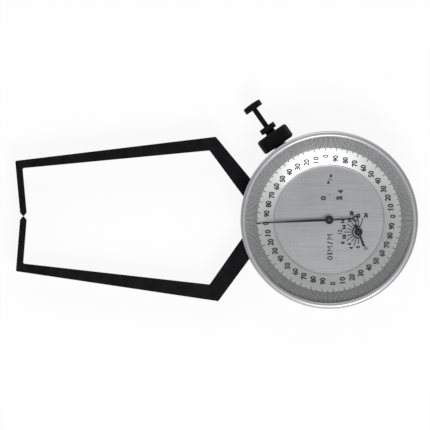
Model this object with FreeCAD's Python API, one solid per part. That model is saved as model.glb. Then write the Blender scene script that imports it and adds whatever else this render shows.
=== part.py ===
import FreeCAD, Part
import math
import os

# Outside dial caliper gauge. Millimetres, +Z along the dial axis towards the reader,
# origin at the middle of the back face, arms towards -X, upper arm on the +Y side.

# Reading and gearing
JAW_RANGE = 24.0
JAW_GAP = 0.16
TURN_OPENING = 4.0
SECTOR_RING_TEETH = 200
COUNTER_PINION_TEETH = 16
WHEEL_TEETH = 100
CENTRE_PINION_TEETH = 10
TOOTH_SHARE = 0.40
ADDENDUM = 0.75
DEDENDUM = 1.15
PRESSURE_ANGLE = 20.0

# Places of the turning axes
PIVOT_INSET = 5.25
PIVOT_Y = 0.85
WHEEL_TRAIN_INSET = 4.95
COUNTER_ANGLE = -22.6
TAKEUP_ANGLE = 101.0
JAW_LINE_Y = 1.2

# Running clearances and small gaps
SHAFT_CLEARANCE = 0.04
BEZEL_CLEARANCE = 0.08
FACE_CLEARANCE = 0.1
ARM_CLEARANCE = 0.2
SLOT_CLEARANCE = 0.45
SEAT_CLEARANCE = 0.05
HOLE_CLEARANCE = 0.15
DIAL_GAP = 0.1
COVER_GAP = 0.2
WHEEL_GAP = 0.4
HAIRSPRING_GAP = 0.2
BEZEL_GAP = 0.3
HAND_GAP = 0.25
POINTER_GAP = 0.2
CUT_SPARE = 1.0
SAME_PLACE = 0.01

# Case, cover and base plate
BEZEL_R = 28.85
BEZEL_WALL = 1.35
CASE_STEP = 0.65
CASE_WALL = 3.0
NECK_H = 3.8
WEB_T = 1.6
COVER_RIM = 1.35
COVER_T = 1.5
EDGE_CHAMFER = 0.7
CHAMFER_SHARE = 0.9
LUG_R = 2.3
LUG_INSET = 1.9
LUG_ANGLES = (85.0, 15.0, -50.0, -125.0)
PLATE_ROOM = 0.6
PLATE_T = 1.8
PILLAR_R = 1.6
PILLAR_INSET = 2.8
PILLAR_ANGLES = (-8.0, -98.0, 70.0)

# Screws
SCREW_R = 0.8
SCREW_HEAD_R = 1.8
SCREW_HEAD_H = 0.7
SCREW_SLOT_W = 0.4
SCREW_SLOT_DEPTH = 0.35
COVER_SCREW_LENGTH = 6.0
PLATE_SCREW_LENGTH = 4.6

# Arms
ARM_T = 5.0
ARM_EDGE = 0.25
TIP_W = 2.12
TIP_CHAMFER = 1.1
NIB_W = 0.3
UPPER_CORNER_OUT = 2.62
UPPER_CORNER_UP = 18.38
UPPER_ELBOW = (-16.9, 26.23)
UPPER_BAR_W = (2.6, 4.28)
UPPER_LIMB_W = (4.3, 6.0)
UPPER_LIMB_OFFSET = 3.7
LOWER_CORNER_OUT = 2.4
LOWER_CORNER_UP = 17.57
LOWER_ELBOW = (-16.08, 27.35)
LOWER_BAR_W = (2.75, 5.1)
LOWER_LIMB_W = (5.44, 6.2)
LOWER_LIMB_OFFSET = 3.25
ELBOW_ROUND = 0.5

# Hub, foot and pivot of the arms
STUD_R = 2.0
STUD_HEAD_R = 3.0
STUD_THREAD_R = 1.2
NUT_R = 2.7
NUT_H = 1.2
THREAD_END = 0.3
BUSH_WALL = 0.9
HUB_WALL = 1.66
FOOT_R = 5.0
FOOT_T = 2.3
FOOT_LOBE_R = 2.2
FOOT_SCREWS = ((-2.9, -4.75), (2.0, -14.75))
FOOT_DOWELS = ((3.2, -2.4), (-0.6, -9.75))
DOWEL_R = 0.6
SADDLE_R = 8.0
SADDLE_START_ANGLE = -62.0
SADDLE_END_ANGLE = 44.0
TAIL_ANGLE = -50.0
TAIL_R = 9.0
TAIL_W = 2.6
FINGER_END = 1.3
FINGER_PAD_L = 4.3
FINGER_T = 2.2
FINGER_PAD_H = 3.0

# Sector gear
SECTOR_T = 1.0
SECTOR_RIM_W = 2.3
SECTOR_BAR_W = 1.8
SECTOR_SIDE_ROOM = 0.9
SECTOR_SCREW_R = 6.2
SECTOR_SCREW_ANGLES = (-45.0, -8.0, 24.0)
SECTOR_SCREW_HEAD_R = 1.25
SECTOR_SCREW_SHANK_R = 0.6

# Arbors and wheels
PIVOT_END_R = 0.5
ARBOR_R = 0.8
ARBOR_BUSH_R = 1.8
PINION_SIDE = 0.2
WHEEL_T = 0.6
WHEEL_HUB_R = 1.7
WHEEL_HOLES = 5
WHEEL_RIM_W = 1.6
WHEEL_HUB_LAND = 2.0

# Springs
HAIRSPRING_H = 0.6
HAIRSPRING_STRIP = 0.12
HAIRSPRING_TURNS = 4
HAIRSPRING_PITCH = 0.75
COLLET_R = 1.2
HAIR_STUD_R = 0.5
SPRING_POST_X = 4.0
SPRING_POST_Y = -12.0
SPRING_POST_R = 0.8
SPRING_PIN_R = 0.6
SPRING_PIN_END = 0.4
SPRING_GAP = 0.25
SPRING_R = 1.25
SPRING_WIRE = 0.36
SPRING_EYE_GAP = 0.05
SPRING_HOOK_LENGTH = 1.0
SPRING_RIBS = 14
RIB_LAND_SHARE = 0.7
RIB_GROOVE_SHARE = 0.85

# Dial, hands, bezel and glass
DIAL_R = 17.95
DIAL_T = 0.8
DIAL_FOOT_R = 0.6
DIAL_FOOT_ANGLES = (40.0, 220.0)
DIAL_FOOT_INSET = 2.95
ARBOR_HOLE_R = 0.9
SCALE_RING_T = 0.5
SCALE_STEP = 0.3
SCALE_SLOPE = 4.0
BEZEL_LIP_W = 0.4
BEZEL_LIP_T = 0.8
BEZEL_ROUND = 0.8
BEZEL_RELIEF = 0.35
BEZEL_RELIEF_W = 0.6
GLASS_T = 1.2
SPRING_RING_DROP = 1.8
SPRING_RING_H = 0.6
SPRING_RING_SEAT = 0.57
SPRING_RING_W = 0.87
SPRING_RING_GAP = 24.0
POINTER_T = 0.25
POINTER_LENGTH = 23.7
POINTER_ROOT_W = 0.55
POINTER_TIP_W = 0.16
POINTER_BOSS_R = 1.35
POINTER_BOSS_H = 0.5
POINTER_TAIL = 8.5
POINTER_TAIL_W = 0.34
POINTER_RING_R = 1.0
POINTER_RING_WALL = 0.38
POINTER_ANGLE = 182.6
HAND_T = 0.2
HAND_LENGTH = 4.9
HAND_TAIL = 2.7
HAND_ROOT_W = 0.5
HAND_TIP_W = 0.24
HAND_TAIL_W = 0.8
HAND_BOSS_R = 1.2
HAND_BOSS_H = 0.2
HAND_ANGLE = -72.0

# Plunger, its guide and the clamp knob
PLUNGER_ANGLE = 125.0
PLUNGER_OFFSET = 0.79
ROD_R = 0.86
ROD_DOME = 0.43
ROD_END_GAP = 0.05
HEAD_R = 3.16
HEAD_ROOM = 6.64
HEAD_T = 1.95
HEAD_DOME = 0.25
HEAD_EDGE = 0.175
GUIDE_INSIDE = 1.7
GUIDE_BOSS_R = 2.3
TUBE_R = 1.72
KNOB_GAP = 0.3
KNOB_R = 5.6
KNOB_L = 4.9
KNOB_ROUND = 0.9
KNOB_PLAY = 0.85
COLLAR_R = 2.78
COLLAR_T = 1.8
COLLAR_EDGE = 0.175
CLIP_R = 1.7
CLIP_T = 0.5

# Sizes that follow from the ones above: radii
V = FreeCAD.Vector
BEZEL_BORE_R = BEZEL_R - BEZEL_WALL
BEZEL_LIP_R = BEZEL_BORE_R - BEZEL_LIP_W
NECK_R = BEZEL_BORE_R - BEZEL_CLEARANCE
SPRING_RING_R = NECK_R - SPRING_RING_SEAT
CASE_R = BEZEL_R - CASE_STEP
CASE_BORE_R = CASE_R - CASE_WALL
COVER_R = CASE_R - COVER_RIM
COVER_SEAT_R = COVER_R + SEAT_CLEARANCE
COUNTERSINK = SCREW_HEAD_R - SCREW_R
PLATE_R = CASE_BORE_R - PLATE_ROOM
HUB_R = STUD_R + SHAFT_CLEARANCE + BUSH_WALL + HUB_WALL
DIAL_FOOT_AT = DIAL_R - DIAL_FOOT_INSET
SCALE_BORE_R = DIAL_R + DIAL_GAP
POINTER_RING_HOLE_R = POINTER_RING_R - POINTER_RING_WALL

# Heights, from the back cover up to the glass
PLATE_Z = COVER_T + COVER_GAP + SCREW_HEAD_H
PLATE_TOP_Z = PLATE_Z + PLATE_T
ARM_Z = PLATE_TOP_Z + ARM_CLEARANCE
ARM_TOP_Z = ARM_Z + ARM_T
ARM_MID_Z = ARM_Z + ARM_T / 2.0
FOOT_TOP_Z = PLATE_TOP_Z + FOOT_T
HUB_Z = FOOT_TOP_Z + FACE_CLEARANCE
SECTOR_Z = ARM_TOP_Z - SECTOR_T
NUT_Z = ARM_TOP_Z + FACE_CLEARANCE
PINION_Z = SECTOR_Z - PINION_SIDE
PINION_TOP_Z = ARM_TOP_Z + PINION_SIDE
COUNTER_WHEEL_Z = ARM_TOP_Z + SCREW_HEAD_H + ARM_CLEARANCE
CENTRE_PINION_Z = COUNTER_WHEEL_Z - PINION_SIDE
TAKEUP_WHEEL_Z = COUNTER_WHEEL_Z + WHEEL_T + WHEEL_GAP
CENTRE_PINION_TOP_Z = TAKEUP_WHEEL_Z + WHEEL_T + PINION_SIDE
HAIRSPRING_Z = TAKEUP_WHEEL_Z + WHEEL_T + HAIRSPRING_GAP
WEB_Z = HAIRSPRING_Z + HAIRSPRING_H + HAIRSPRING_GAP
CASE_TOP_Z = WEB_Z + WEB_T
SHOULDER_Z = CASE_TOP_Z - NECK_H
SPRING_RING_Z = CASE_TOP_Z - SPRING_RING_DROP
BEZEL_Z = SHOULDER_Z + BEZEL_GAP
DIAL_TOP_Z = CASE_TOP_Z + DIAL_T
SCALE_RING_Z = DIAL_TOP_Z - SCALE_RING_T
SCALE_INNER_Z = DIAL_TOP_Z + SCALE_STEP
SCALE_OUTER_Z = SCALE_INNER_Z + math.tan(math.radians(SCALE_SLOPE)) * (BEZEL_LIP_R - SCALE_BORE_R)
HAND_Z = DIAL_TOP_Z + HAND_GAP
POINTER_Z = HAND_Z + HAND_T + HAND_BOSS_H + POINTER_GAP
GLASS_Z = POINTER_Z + POINTER_T + POINTER_BOSS_H + FACE_CLEARANCE
BEZEL_TOP_Z = GLASS_Z + GLASS_T + BEZEL_LIP_T
SPRING_Z = PLATE_TOP_Z + SPRING_GAP + SPRING_R
SPRING_PIN_Z = SPRING_Z - SPRING_WIRE / 2.0 - SPRING_EYE_GAP - SPRING_PIN_END

# Gear train and turning axes
PIVOT_X = PIVOT_INSET - CASE_BORE_R
PIVOT = (PIVOT_X, PIVOT_Y)
MESH_TEETH = WHEEL_TEETH + CENTRE_PINION_TEETH
COUNTER_R = (PLATE_R - WHEEL_TRAIN_INSET) / (1.0 + WHEEL_TEETH / MESH_TEETH)
COUNTER_X = COUNTER_R * math.cos(math.radians(COUNTER_ANGLE))
COUNTER_Y = COUNTER_R * math.sin(math.radians(COUNTER_ANGLE))
COUNTER = (COUNTER_X, COUNTER_Y)
TAKEUP = (COUNTER_R * math.cos(math.radians(TAKEUP_ANGLE)),
          COUNTER_R * math.sin(math.radians(TAKEUP_ANGLE)))
GEAR_RATIO = SECTOR_RING_TEETH / COUNTER_PINION_TEETH * WHEEL_TEETH / CENTRE_PINION_TEETH
ARM_SWING = 360.0 * JAW_RANGE / TURN_OPENING / GEAR_RATIO
ARM_REACH = JAW_RANGE / math.radians(ARM_SWING)
UPPER_CORNER = (-ARM_REACH - UPPER_CORNER_OUT, UPPER_CORNER_UP)
LOWER_CORNER = (-ARM_REACH - LOWER_CORNER_OUT, LOWER_CORNER_UP)
SECTOR_MODULE = 2.0 * math.dist(PIVOT, COUNTER) / (SECTOR_RING_TEETH - COUNTER_PINION_TEETH)
WHEEL_MODULE = 2.0 * COUNTER_R / MESH_TEETH
SECTOR_R = SECTOR_MODULE * SECTOR_RING_TEETH / 2.0
COUNTER_BEARING = math.degrees(math.atan2(COUNTER_Y - PIVOT_Y, COUNTER_X - PIVOT_X))
CENTRE_BEARING = math.degrees(math.atan2(-COUNTER_Y, -COUNTER_X))

# Plunger: distances are measured out along its axis
GUIDE_INNER_AT = CASE_BORE_R - GUIDE_INSIDE
KNOB_AT = BEZEL_R + KNOB_GAP
COLLAR_AT = KNOB_AT + KNOB_L + KNOB_PLAY
HEAD_AT = COLLAR_AT + COLLAR_T + HEAD_ROOM
AXIS_OUT = (math.cos(math.radians(PLUNGER_ANGLE)), math.sin(math.radians(PLUNGER_ANGLE)))
AXIS_FOOT = (PLUNGER_OFFSET * AXIS_OUT[1], -PLUNGER_OFFSET * AXIS_OUT[0])
LEVER = abs((PIVOT_X - AXIS_FOOT[0]) * AXIS_OUT[1] - (PIVOT_Y - AXIS_FOOT[1]) * AXIS_OUT[0])
FINGER_TIP_R = LEVER + FINGER_END
FINGER_PAD_R = FINGER_TIP_R - FINGER_PAD_L


def turned_by(point, degrees, centre=(0.0, 0.0)):
    """A point turned about a centre."""
    c = math.cos(math.radians(degrees))
    s = math.sin(math.radians(degrees))
    x = point[0] - centre[0]
    y = point[1] - centre[1]
    return (centre[0] + c * x - s * y, centre[1] + s * x + c * y)


def polar(radius, degrees, centre=(0.0, 0.0)):
    """The point at a radius and bearing from a centre."""
    return turned_by((centre[0] + radius, centre[1]), degrees, centre)


def from_pivot(point):
    """A point given from the arm pivot, in the gauge's own frame."""
    return (PIVOT_X + point[0], PIVOT_Y + point[1])


def closed_wire(steps, lift):
    """A wire through steps: (x, y) is a corner, (mx, my, x, y) an arc through its middle."""
    edges = []
    here = steps[-1][-2:]
    for step in steps:
        there = step[-2:]
        if len(step) == 4:
            edges.append(Part.Arc(lift(*here), lift(*step[:2]), lift(*there)).toShape())
        else:
            edges.append(Part.makeLine(lift(*here), lift(*there)))
        here = there
    return Part.Wire(edges)


def plate(steps, low, high):
    """A flat piece with the outline that the steps give, between two heights."""
    face = Part.Face(closed_wire(steps, lambda x, y: V(x, y, low)))
    return face.extrude(V(0, 0, high - low))


def lathe(steps):
    """A piece turned about Z from a half section of (radius, height) steps."""
    face = Part.Face(closed_wire(steps, lambda r, z: V(r, 0, z)))
    return face.revolve(V(0, 0, 0), V(0, 0, 1), 360)


def rod(centre, radius, low, high):
    """A round bar parallel to Z."""
    return Part.makeCylinder(radius, high - low, V(centre[0], centre[1], low))


def tube(centre, outer, inner, low, high):
    """A round bar with a bore."""
    return rod(centre, outer, low, high).cut(rod(centre, inner, low, high))


def wedge(centre, radius, start, end, low, high):
    """A slice of a disc between two bearings."""
    middle = polar(radius, (start + end) / 2.0, centre)
    steps = [centre, polar(radius, start, centre), middle + polar(radius, end, centre)]
    return plate(steps, low, high)


def bar(start, end, start_w, end_w, low, high):
    """A straight tapered strip between two points."""
    run = math.dist(start, end)
    nx = (start[1] - end[1]) / run
    ny = (end[0] - start[0]) / run
    steps = []
    for point, side in ((start, start_w), (end, end_w), (end, -end_w), (start, -start_w)):
        steps.append((point[0] + nx * side / 2.0, point[1] + ny * side / 2.0))
    return plate(steps, low, high)


def fused(shapes):
    """One solid from pieces that meet."""
    return shapes[0].multiFuse(shapes[1:]).removeSplitter()


def along_plunger(shape):
    """Lays a piece made about Z onto the plunger's axis, height becoming distance out."""
    shape.Placement = FreeCAD.Placement(
        V(AXIS_FOOT[0], AXIS_FOOT[1], ARM_MID_Z),
        FreeCAD.Rotation(V(0, 0, 1), V(AXIS_OUT[0], AXIS_OUT[1], 0)))
    return shape


def dome_middle(radius, base_z, height):
    """Middle point of the arc from a dome's edge to its top on the axis."""
    ball_r = (radius ** 2 + height ** 2) / (2.0 * abs(height))
    drop = ball_r - math.sqrt(ball_r ** 2 - radius ** 2 / 4.0)
    return (radius / 2.0, base_z + height - math.copysign(drop, height))


def involute(angle):
    """Involute of an angle in radians."""
    return math.tan(angle) - angle


def flank(pitch_r, share, teeth, radii):
    """Half the angle of an involute tooth at each radius, in degrees."""
    base_r = pitch_r * math.cos(math.radians(PRESSURE_ANGLE))
    at_pitch = share * math.pi / teeth + involute(math.radians(PRESSURE_ANGLE))
    halves = []
    for radius in radii:
        leaning = math.acos(min(1.0, base_r / radius))
        halves.append(math.degrees(at_pitch - involute(leaning)))
    return halves


def gear(centre, module, teeth, phase, steps, low, high):
    """An outside gear with its first tooth at a bearing."""
    pitch_r = module * teeth / 2.0
    root = pitch_r - DEDENDUM * module
    tip = pitch_r + ADDENDUM * module
    radii = [root + (tip - root) * i / steps for i in range(steps + 1)]
    halves = flank(pitch_r, TOOTH_SHARE, teeth, radii)
    outline = []
    for tooth in range(teeth):
        bearing = phase + 360.0 * tooth / teeth
        for radius, half in zip(radii, halves):
            outline.append(polar(radius, bearing - half, centre))
        for radius, half in zip(reversed(radii), reversed(halves)):
            outline.append(polar(radius, bearing + half, centre))
    return plate(outline, low, high)


def meshing_phase(teeth, phase, other_teeth, bearing):
    """First tooth of the gear that meshes at a bearing with one of known phase."""
    offset = (phase - bearing) * teeth / 360.0
    return bearing + 180.0 + (0.5 - offset) * 360.0 / other_teeth


def screw(centre, head_z, head_r, shank_r, length):
    """A cheese head screw put in from the back, its head below head_z."""
    head = rod(centre, head_r, head_z - SCREW_HEAD_H, head_z)
    shank = rod(centre, shank_r, head_z, head_z + length)
    slot = Part.makeBox(2.0 * head_r, SCREW_SLOT_W, SCREW_SLOT_DEPTH,
                        V(centre[0] - head_r, centre[1] - SCREW_SLOT_W / 2.0,
                          head_z - SCREW_HEAD_H))
    return fused([head, shank]).cut(slot)


def save(name, shape):
    """Writes one piece, or one group of like pieces."""
    if isinstance(shape, list):
        shape = Part.makeCompound(shape)
    shape.exportStep("parts/" + name + ".step")


# Arm outlines

def offset_line(start, end, start_w, end_w):
    """The line beside another, on its left, at a width that changes along it."""
    run = math.dist(start, end)
    nx = (start[1] - end[1]) / run
    ny = (end[0] - start[0]) / run
    return ((start[0] + nx * start_w, start[1] + ny * start_w),
            (end[0] + nx * end_w, end[1] + ny * end_w))


def crossing(first, second):
    """Where two lines meet."""
    (ax, ay), (bx, by) = first
    (cx, cy), (dx, dy) = second
    ux, uy, vx, vy = bx - ax, by - ay, dx - cx, dy - cy
    t = ((cx - ax) * vy - (cy - ay) * vx) / (ux * vy - uy * vx)
    return (ax + t * ux, ay + t * uy)


def limb_edges(elbow, limb_w, limb_offset):
    """Outer and inner edge of a limb, from its elbow to beside the pivot."""
    reach = math.hypot(*elbow)
    bearing = math.degrees(math.atan2(elbow[1], elbow[0]))
    lean = math.degrees(math.asin(limb_offset / reach))
    foot = polar(limb_offset, bearing - 90.0 + lean)
    outer = (elbow, foot)
    inner = offset_line(foot, elbow, limb_w[1], limb_w[0])
    return outer, (inner[1], inner[0])


def arm_outline(corner, elbow, bar_w, limb_w, limb_offset, jaw_y):
    """Corners of an arm from the pivot, for the arm on the +Y side of the jaw line."""
    tip_y = jaw_y + TIP_CHAMFER
    outer_tip = (-ARM_REACH - TIP_W / 2.0, tip_y)
    inner_tip = (-ARM_REACH + TIP_W / 2.0, tip_y)
    limb_out, limb_in = limb_edges(elbow, limb_w, limb_offset)
    bar_in = offset_line(elbow, corner, bar_w[1], bar_w[0])
    tip_in = offset_line(corner, outer_tip, TIP_W, TIP_W)
    inner_elbow = crossing(bar_in, limb_in)
    inner_corner = crossing(bar_in, tip_in)
    return [(-ARM_REACH - NIB_W / 2.0, jaw_y), outer_tip, corner, elbow, limb_out[1],
            limb_in[1], inner_elbow, inner_corner, inner_tip,
            (-ARM_REACH + NIB_W / 2.0, jaw_y)]


def upper_outline():
    jaw_y = JAW_LINE_Y - PIVOT_Y + JAW_GAP / 2.0
    return arm_outline(UPPER_CORNER, UPPER_ELBOW, UPPER_BAR_W, UPPER_LIMB_W,
                       UPPER_LIMB_OFFSET, jaw_y)


def lower_outline():
    jaw_y = PIVOT_Y - JAW_LINE_Y + JAW_GAP / 2.0
    flipped = arm_outline(LOWER_CORNER, LOWER_ELBOW, LOWER_BAR_W, LOWER_LIMB_W,
                          LOWER_LIMB_OFFSET, jaw_y)
    return [(x, -y) for x, y in flipped]


def arm_blank(outline):
    """The arm's bar with rounded elbow and corner and broken edges."""
    blank = plate([from_pivot(point) for point in outline], ARM_Z, ARM_TOP_Z)
    turns = [from_pivot(outline[i]) for i in (2, 3, 6, 7)]
    rounded = []
    for edge in blank.Edges:
        low, high = edge.Vertexes[0].Point, edge.Vertexes[-1].Point
        upright = abs(low.z - high.z) > ARM_T / 2.0
        if upright and any(math.dist((low.x, low.y), turn) < SAME_PLACE for turn in turns):
            rounded.append(edge)
    blank = blank.makeFillet(ELBOW_ROUND, rounded)
    long_edges = []
    for edge in blank.Edges:
        box = edge.BoundBox
        if box.ZLength < SAME_PLACE and max(box.XLength, box.YLength) > 2.0 * TIP_W:
            long_edges.append(edge)
    return blank.makeChamfer(ARM_EDGE, long_edges)


def slot_prism(outer, inner, swing, clearance, low, high):
    """The room that a limb sweeps where it passes the case wall."""
    outer = [turned_by(point, -swing) for point in outer]
    near = offset_line(outer[1], outer[0], -clearance, -clearance)
    far = offset_line(inner[1], inner[0], clearance, clearance)
    return plate([from_pivot(point) for point in (near[0], near[1], far[1], far[0])],
                 low, high)


def upper_slot(clearance, low, high):
    outer, inner = limb_edges(UPPER_ELBOW, UPPER_LIMB_W, UPPER_LIMB_OFFSET)
    return slot_prism(outer, inner, ARM_SWING, clearance, low, high)


def lower_slot(clearance, low, high):
    outer, inner = limb_edges(LOWER_ELBOW, LOWER_LIMB_W, LOWER_LIMB_OFFSET)
    prism = slot_prism(outer, inner, 0.0, clearance, low, high)
    return prism.mirror(V(0, PIVOT_Y, 0), V(0, 1, 0))


# Case, cover and plate

def lug_places():
    return [polar(CASE_BORE_R - LUG_INSET, bearing) for bearing in LUG_ANGLES]


def pillar_places():
    return [polar(PLATE_R - PILLAR_INSET, bearing) for bearing in PILLAR_ANGLES]


def case_body():
    """Turned and milled cup: side wall, neck for the bezel, web behind the dial."""
    groove_top = SPRING_RING_Z + SPRING_RING_H + FACE_CLEARANCE
    groove_low = SPRING_RING_Z - FACE_CLEARANCE
    rim_edge = min(EDGE_CHAMFER, CHAMFER_SHARE * (CASE_R - COVER_SEAT_R))
    step_edge = min(EDGE_CHAMFER, CHAMFER_SHARE * (CASE_R - NECK_R))
    shell = lathe([(COVER_SEAT_R, 0), (CASE_R - rim_edge, 0), (CASE_R, rim_edge),
                   (CASE_R, SHOULDER_Z - step_edge), (CASE_R - step_edge, SHOULDER_Z),
                   (NECK_R, SHOULDER_Z), (NECK_R, groove_low), (SPRING_RING_R, groove_low),
                   (SPRING_RING_R, groove_top), (NECK_R, groove_top), (NECK_R, CASE_TOP_Z),
                   (0, CASE_TOP_Z), (0, WEB_Z), (CASE_BORE_R, WEB_Z), (CASE_BORE_R, COVER_T),
                   (COVER_SEAT_R, COVER_T)])
    bored = rod((0, 0), COVER_SEAT_R, COVER_T, WEB_Z)
    lugs = [rod(place, LUG_R, COVER_T, WEB_Z).common(bored) for place in lug_places()]
    shell = fused([shell] + lugs)
    cuts = [rod(place, SCREW_R, COVER_T, COVER_T + COVER_SCREW_LENGTH) for place in lug_places()]
    for centre in ((0, 0), COUNTER, TAKEUP):
        cuts.append(rod(centre, ARBOR_BUSH_R, WEB_Z, CASE_TOP_Z))
    for bearing in DIAL_FOOT_ANGLES:
        cuts.append(rod(polar(DIAL_FOOT_AT, bearing), DIAL_FOOT_R, WEB_Z, CASE_TOP_Z))
    for place in pillar_places():
        cuts.append(rod(place, SCREW_R, WEB_Z, CASE_TOP_Z))
    low, high = -CUT_SPARE, ARM_TOP_Z + ARM_CLEARANCE
    wall_room = tube((0, 0), CASE_R + CUT_SPARE, CASE_BORE_R - LUG_R, low, high)
    cuts.append(upper_slot(SLOT_CLEARANCE, low, high).common(wall_room))
    cuts.append(lower_slot(SEAT_CLEARANCE, low, ARM_TOP_Z + SEAT_CLEARANCE).common(wall_room))
    cuts.append(along_plunger(rod((0, 0), GUIDE_BOSS_R, GUIDE_INNER_AT - CUT_SPARE, KNOB_AT)))
    return shell.cut(cuts)


def back_cover():
    """Stamped disc with two lips that close the arm slots behind the arms."""
    disc = rod((0, 0), COVER_R, 0, COVER_T)
    lip_ring = tube((0, 0), CASE_R - SEAT_CLEARANCE, CASE_BORE_R + SEAT_CLEARANCE, 0, ARM_Z)
    lip_top = ARM_Z - ARM_CLEARANCE
    lips = []
    for slot, clearance in ((upper_slot, SLOT_CLEARANCE), (lower_slot, SEAT_CLEARANCE)):
        room = slot(clearance - SEAT_CLEARANCE, 0, lip_top)
        lips.append(room.common(lip_ring))
    cover = fused([disc] + lips)
    for place in lug_places():
        hole = rod(place, SCREW_R + HOLE_CLEARANCE, 0, COVER_T)
        cone = Part.makeCone(SCREW_HEAD_R, SCREW_R, COUNTERSINK, V(place[0], place[1], 0))
        cover = cover.cut([hole, cone])
    return cover


def cover_screws():
    """Countersunk screws of the cover, heads flush with its back."""
    screws = []
    for place in lug_places():
        head = Part.makeCone(SCREW_HEAD_R, SCREW_R, COUNTERSINK, V(place[0], place[1], 0))
        shank = rod(place, SCREW_R, COUNTERSINK, COVER_T + COVER_SCREW_LENGTH - FACE_CLEARANCE)
        slot = Part.makeBox(2.0 * SCREW_HEAD_R, SCREW_SLOT_W, SCREW_SLOT_DEPTH,
                            V(place[0] - SCREW_HEAD_R, place[1] - SCREW_SLOT_W / 2.0, 0))
        screws.append(fused([head, shank]).cut(slot))
    return screws


def base_plate():
    """Movement plate that carries the arms' pivot, the arbors and the spring post."""
    disc = rod((0, 0), PLATE_R, PLATE_Z, PLATE_TOP_Z)
    cuts = [rod(place, LUG_R + ARM_CLEARANCE, PLATE_Z, PLATE_TOP_Z) for place in lug_places()]
    for centre in ((0, 0), COUNTER, TAKEUP):
        cuts.append(rod(centre, ARBOR_BUSH_R, PLATE_Z, PLATE_TOP_Z))
    for place in pillar_places():
        cuts.append(rod(place, SCREW_R + HOLE_CLEARANCE, PLATE_Z, PLATE_TOP_Z))
    for offset in FOOT_SCREWS:
        cuts.append(rod(from_pivot(offset), SCREW_R + HOLE_CLEARANCE, PLATE_Z, PLATE_TOP_Z))
    for offset in FOOT_DOWELS:
        cuts.append(rod(from_pivot(offset), DOWEL_R, PLATE_Z, PLATE_TOP_Z))
    cuts.append(rod(PIVOT, STUD_R, PLATE_Z, PLATE_TOP_Z))
    cuts.append(rod((SPRING_POST_X, SPRING_POST_Y), SPRING_POST_R, PLATE_Z, PLATE_TOP_Z))
    return disc.cut(cuts)


def movement_pillars():
    """Turned posts that hold the base plate to the web."""
    pillars = []
    for place in pillar_places():
        post = rod(place, PILLAR_R, PLATE_TOP_Z, WEB_Z)
        stub = rod(place, SCREW_R, WEB_Z, CASE_TOP_Z - FACE_CLEARANCE)
        bore = rod(place, SCREW_R, PLATE_TOP_Z, PLATE_Z + PLATE_SCREW_LENGTH + FACE_CLEARANCE)
        pillars.append(fused([post, stub]).cut(bore))
    return pillars


def plate_screws():
    return [screw(place, PLATE_Z, SCREW_HEAD_R, SCREW_R, PLATE_SCREW_LENGTH)
            for place in pillar_places()]


def arbor_bushes():
    """Six brass bearings: three in the base plate, three in the web."""
    bushes = []
    for centre in ((0, 0), COUNTER, TAKEUP):
        for low, high in ((PLATE_Z, PLATE_TOP_Z), (WEB_Z, CASE_TOP_Z)):
            bushes.append(tube(centre, ARBOR_BUSH_R, PIVOT_END_R + SHAFT_CLEARANCE, low, high))
    return bushes


# Arms and pivot

def fixed_arm():
    """Lower arm, with a thin foot screwed to the base plate under the moving hub."""
    blank = arm_blank(lower_outline())
    sweep_r = SADDLE_R + ARM_CLEARANCE + ARM_CLEARANCE
    above = rod(PIVOT, sweep_r, FOOT_TOP_Z, ARM_TOP_Z)
    blank = blank.cut(above)
    foot = [rod(PIVOT, FOOT_R, PLATE_TOP_Z, FOOT_TOP_Z)]
    places = [from_pivot(offset) for offset in FOOT_SCREWS]
    for place in places:
        foot.append(rod(place, FOOT_LOBE_R, PLATE_TOP_Z, FOOT_TOP_Z))
    foot.append(bar(places[0], places[1], 2 * FOOT_LOBE_R, 2 * FOOT_LOBE_R,
                    PLATE_TOP_Z, FOOT_TOP_Z))
    foot.append(bar(PIVOT, places[0], 2 * FOOT_R, 2 * FOOT_LOBE_R, PLATE_TOP_Z, FOOT_TOP_Z))
    arm = fused([blank] + foot)
    cuts = [rod(PIVOT, STUD_R, PLATE_TOP_Z, FOOT_TOP_Z)]
    cuts += [rod(place, SCREW_R, PLATE_TOP_Z, FOOT_TOP_Z) for place in places]
    cuts += [rod(from_pivot(offset), DOWEL_R, PLATE_TOP_Z, FOOT_TOP_Z)
             for offset in FOOT_DOWELS]
    return arm.cut(cuts)


def fixed_arm_screws():
    length = FOOT_TOP_Z - PLATE_Z - FACE_CLEARANCE
    return [screw(from_pivot(offset), PLATE_Z, SCREW_HEAD_R, SCREW_R, length)
            for offset in FOOT_SCREWS]


def fixed_arm_dowels():
    return [rod(from_pivot(offset), DOWEL_R, PLATE_Z, FOOT_TOP_Z - FACE_CLEARANCE)
            for offset in FOOT_DOWELS]


def pivot_stud():
    """Headed stud through plate and foot, with the moving arm's bearing above."""
    head_low = PLATE_Z - SCREW_HEAD_H
    end = NUT_Z + NUT_H + THREAD_END
    steps = [(0, head_low), (STUD_HEAD_R, head_low), (STUD_HEAD_R, PLATE_Z), (STUD_R, PLATE_Z),
             (STUD_R, NUT_Z), (STUD_THREAD_R, NUT_Z), (STUD_THREAD_R, end), (0, end)]
    stud = lathe(steps)
    stud.translate(V(PIVOT_X, PIVOT_Y, 0))
    return stud


def pivot_nut():
    corners = [polar(NUT_R, 60.0 * i, PIVOT) for i in range(6)]
    return plate(corners, NUT_Z, NUT_Z + NUT_H).cut(
        rod(PIVOT, STUD_THREAD_R, NUT_Z, NUT_Z + NUT_H))


def finger_bearing():
    """Bearing of the finger's pushing face from the pivot, with the jaws closed."""
    to_foot = (AXIS_FOOT[0] - PIVOT_X, AXIS_FOOT[1] - PIVOT_Y)
    out = to_foot[0] * AXIS_OUT[0] + to_foot[1] * AXIS_OUT[1]
    square = (to_foot[0] - out * AXIS_OUT[0], to_foot[1] - out * AXIS_OUT[1])
    return math.degrees(math.atan2(square[1], square[0])) + ARM_SWING / 2.0


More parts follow.
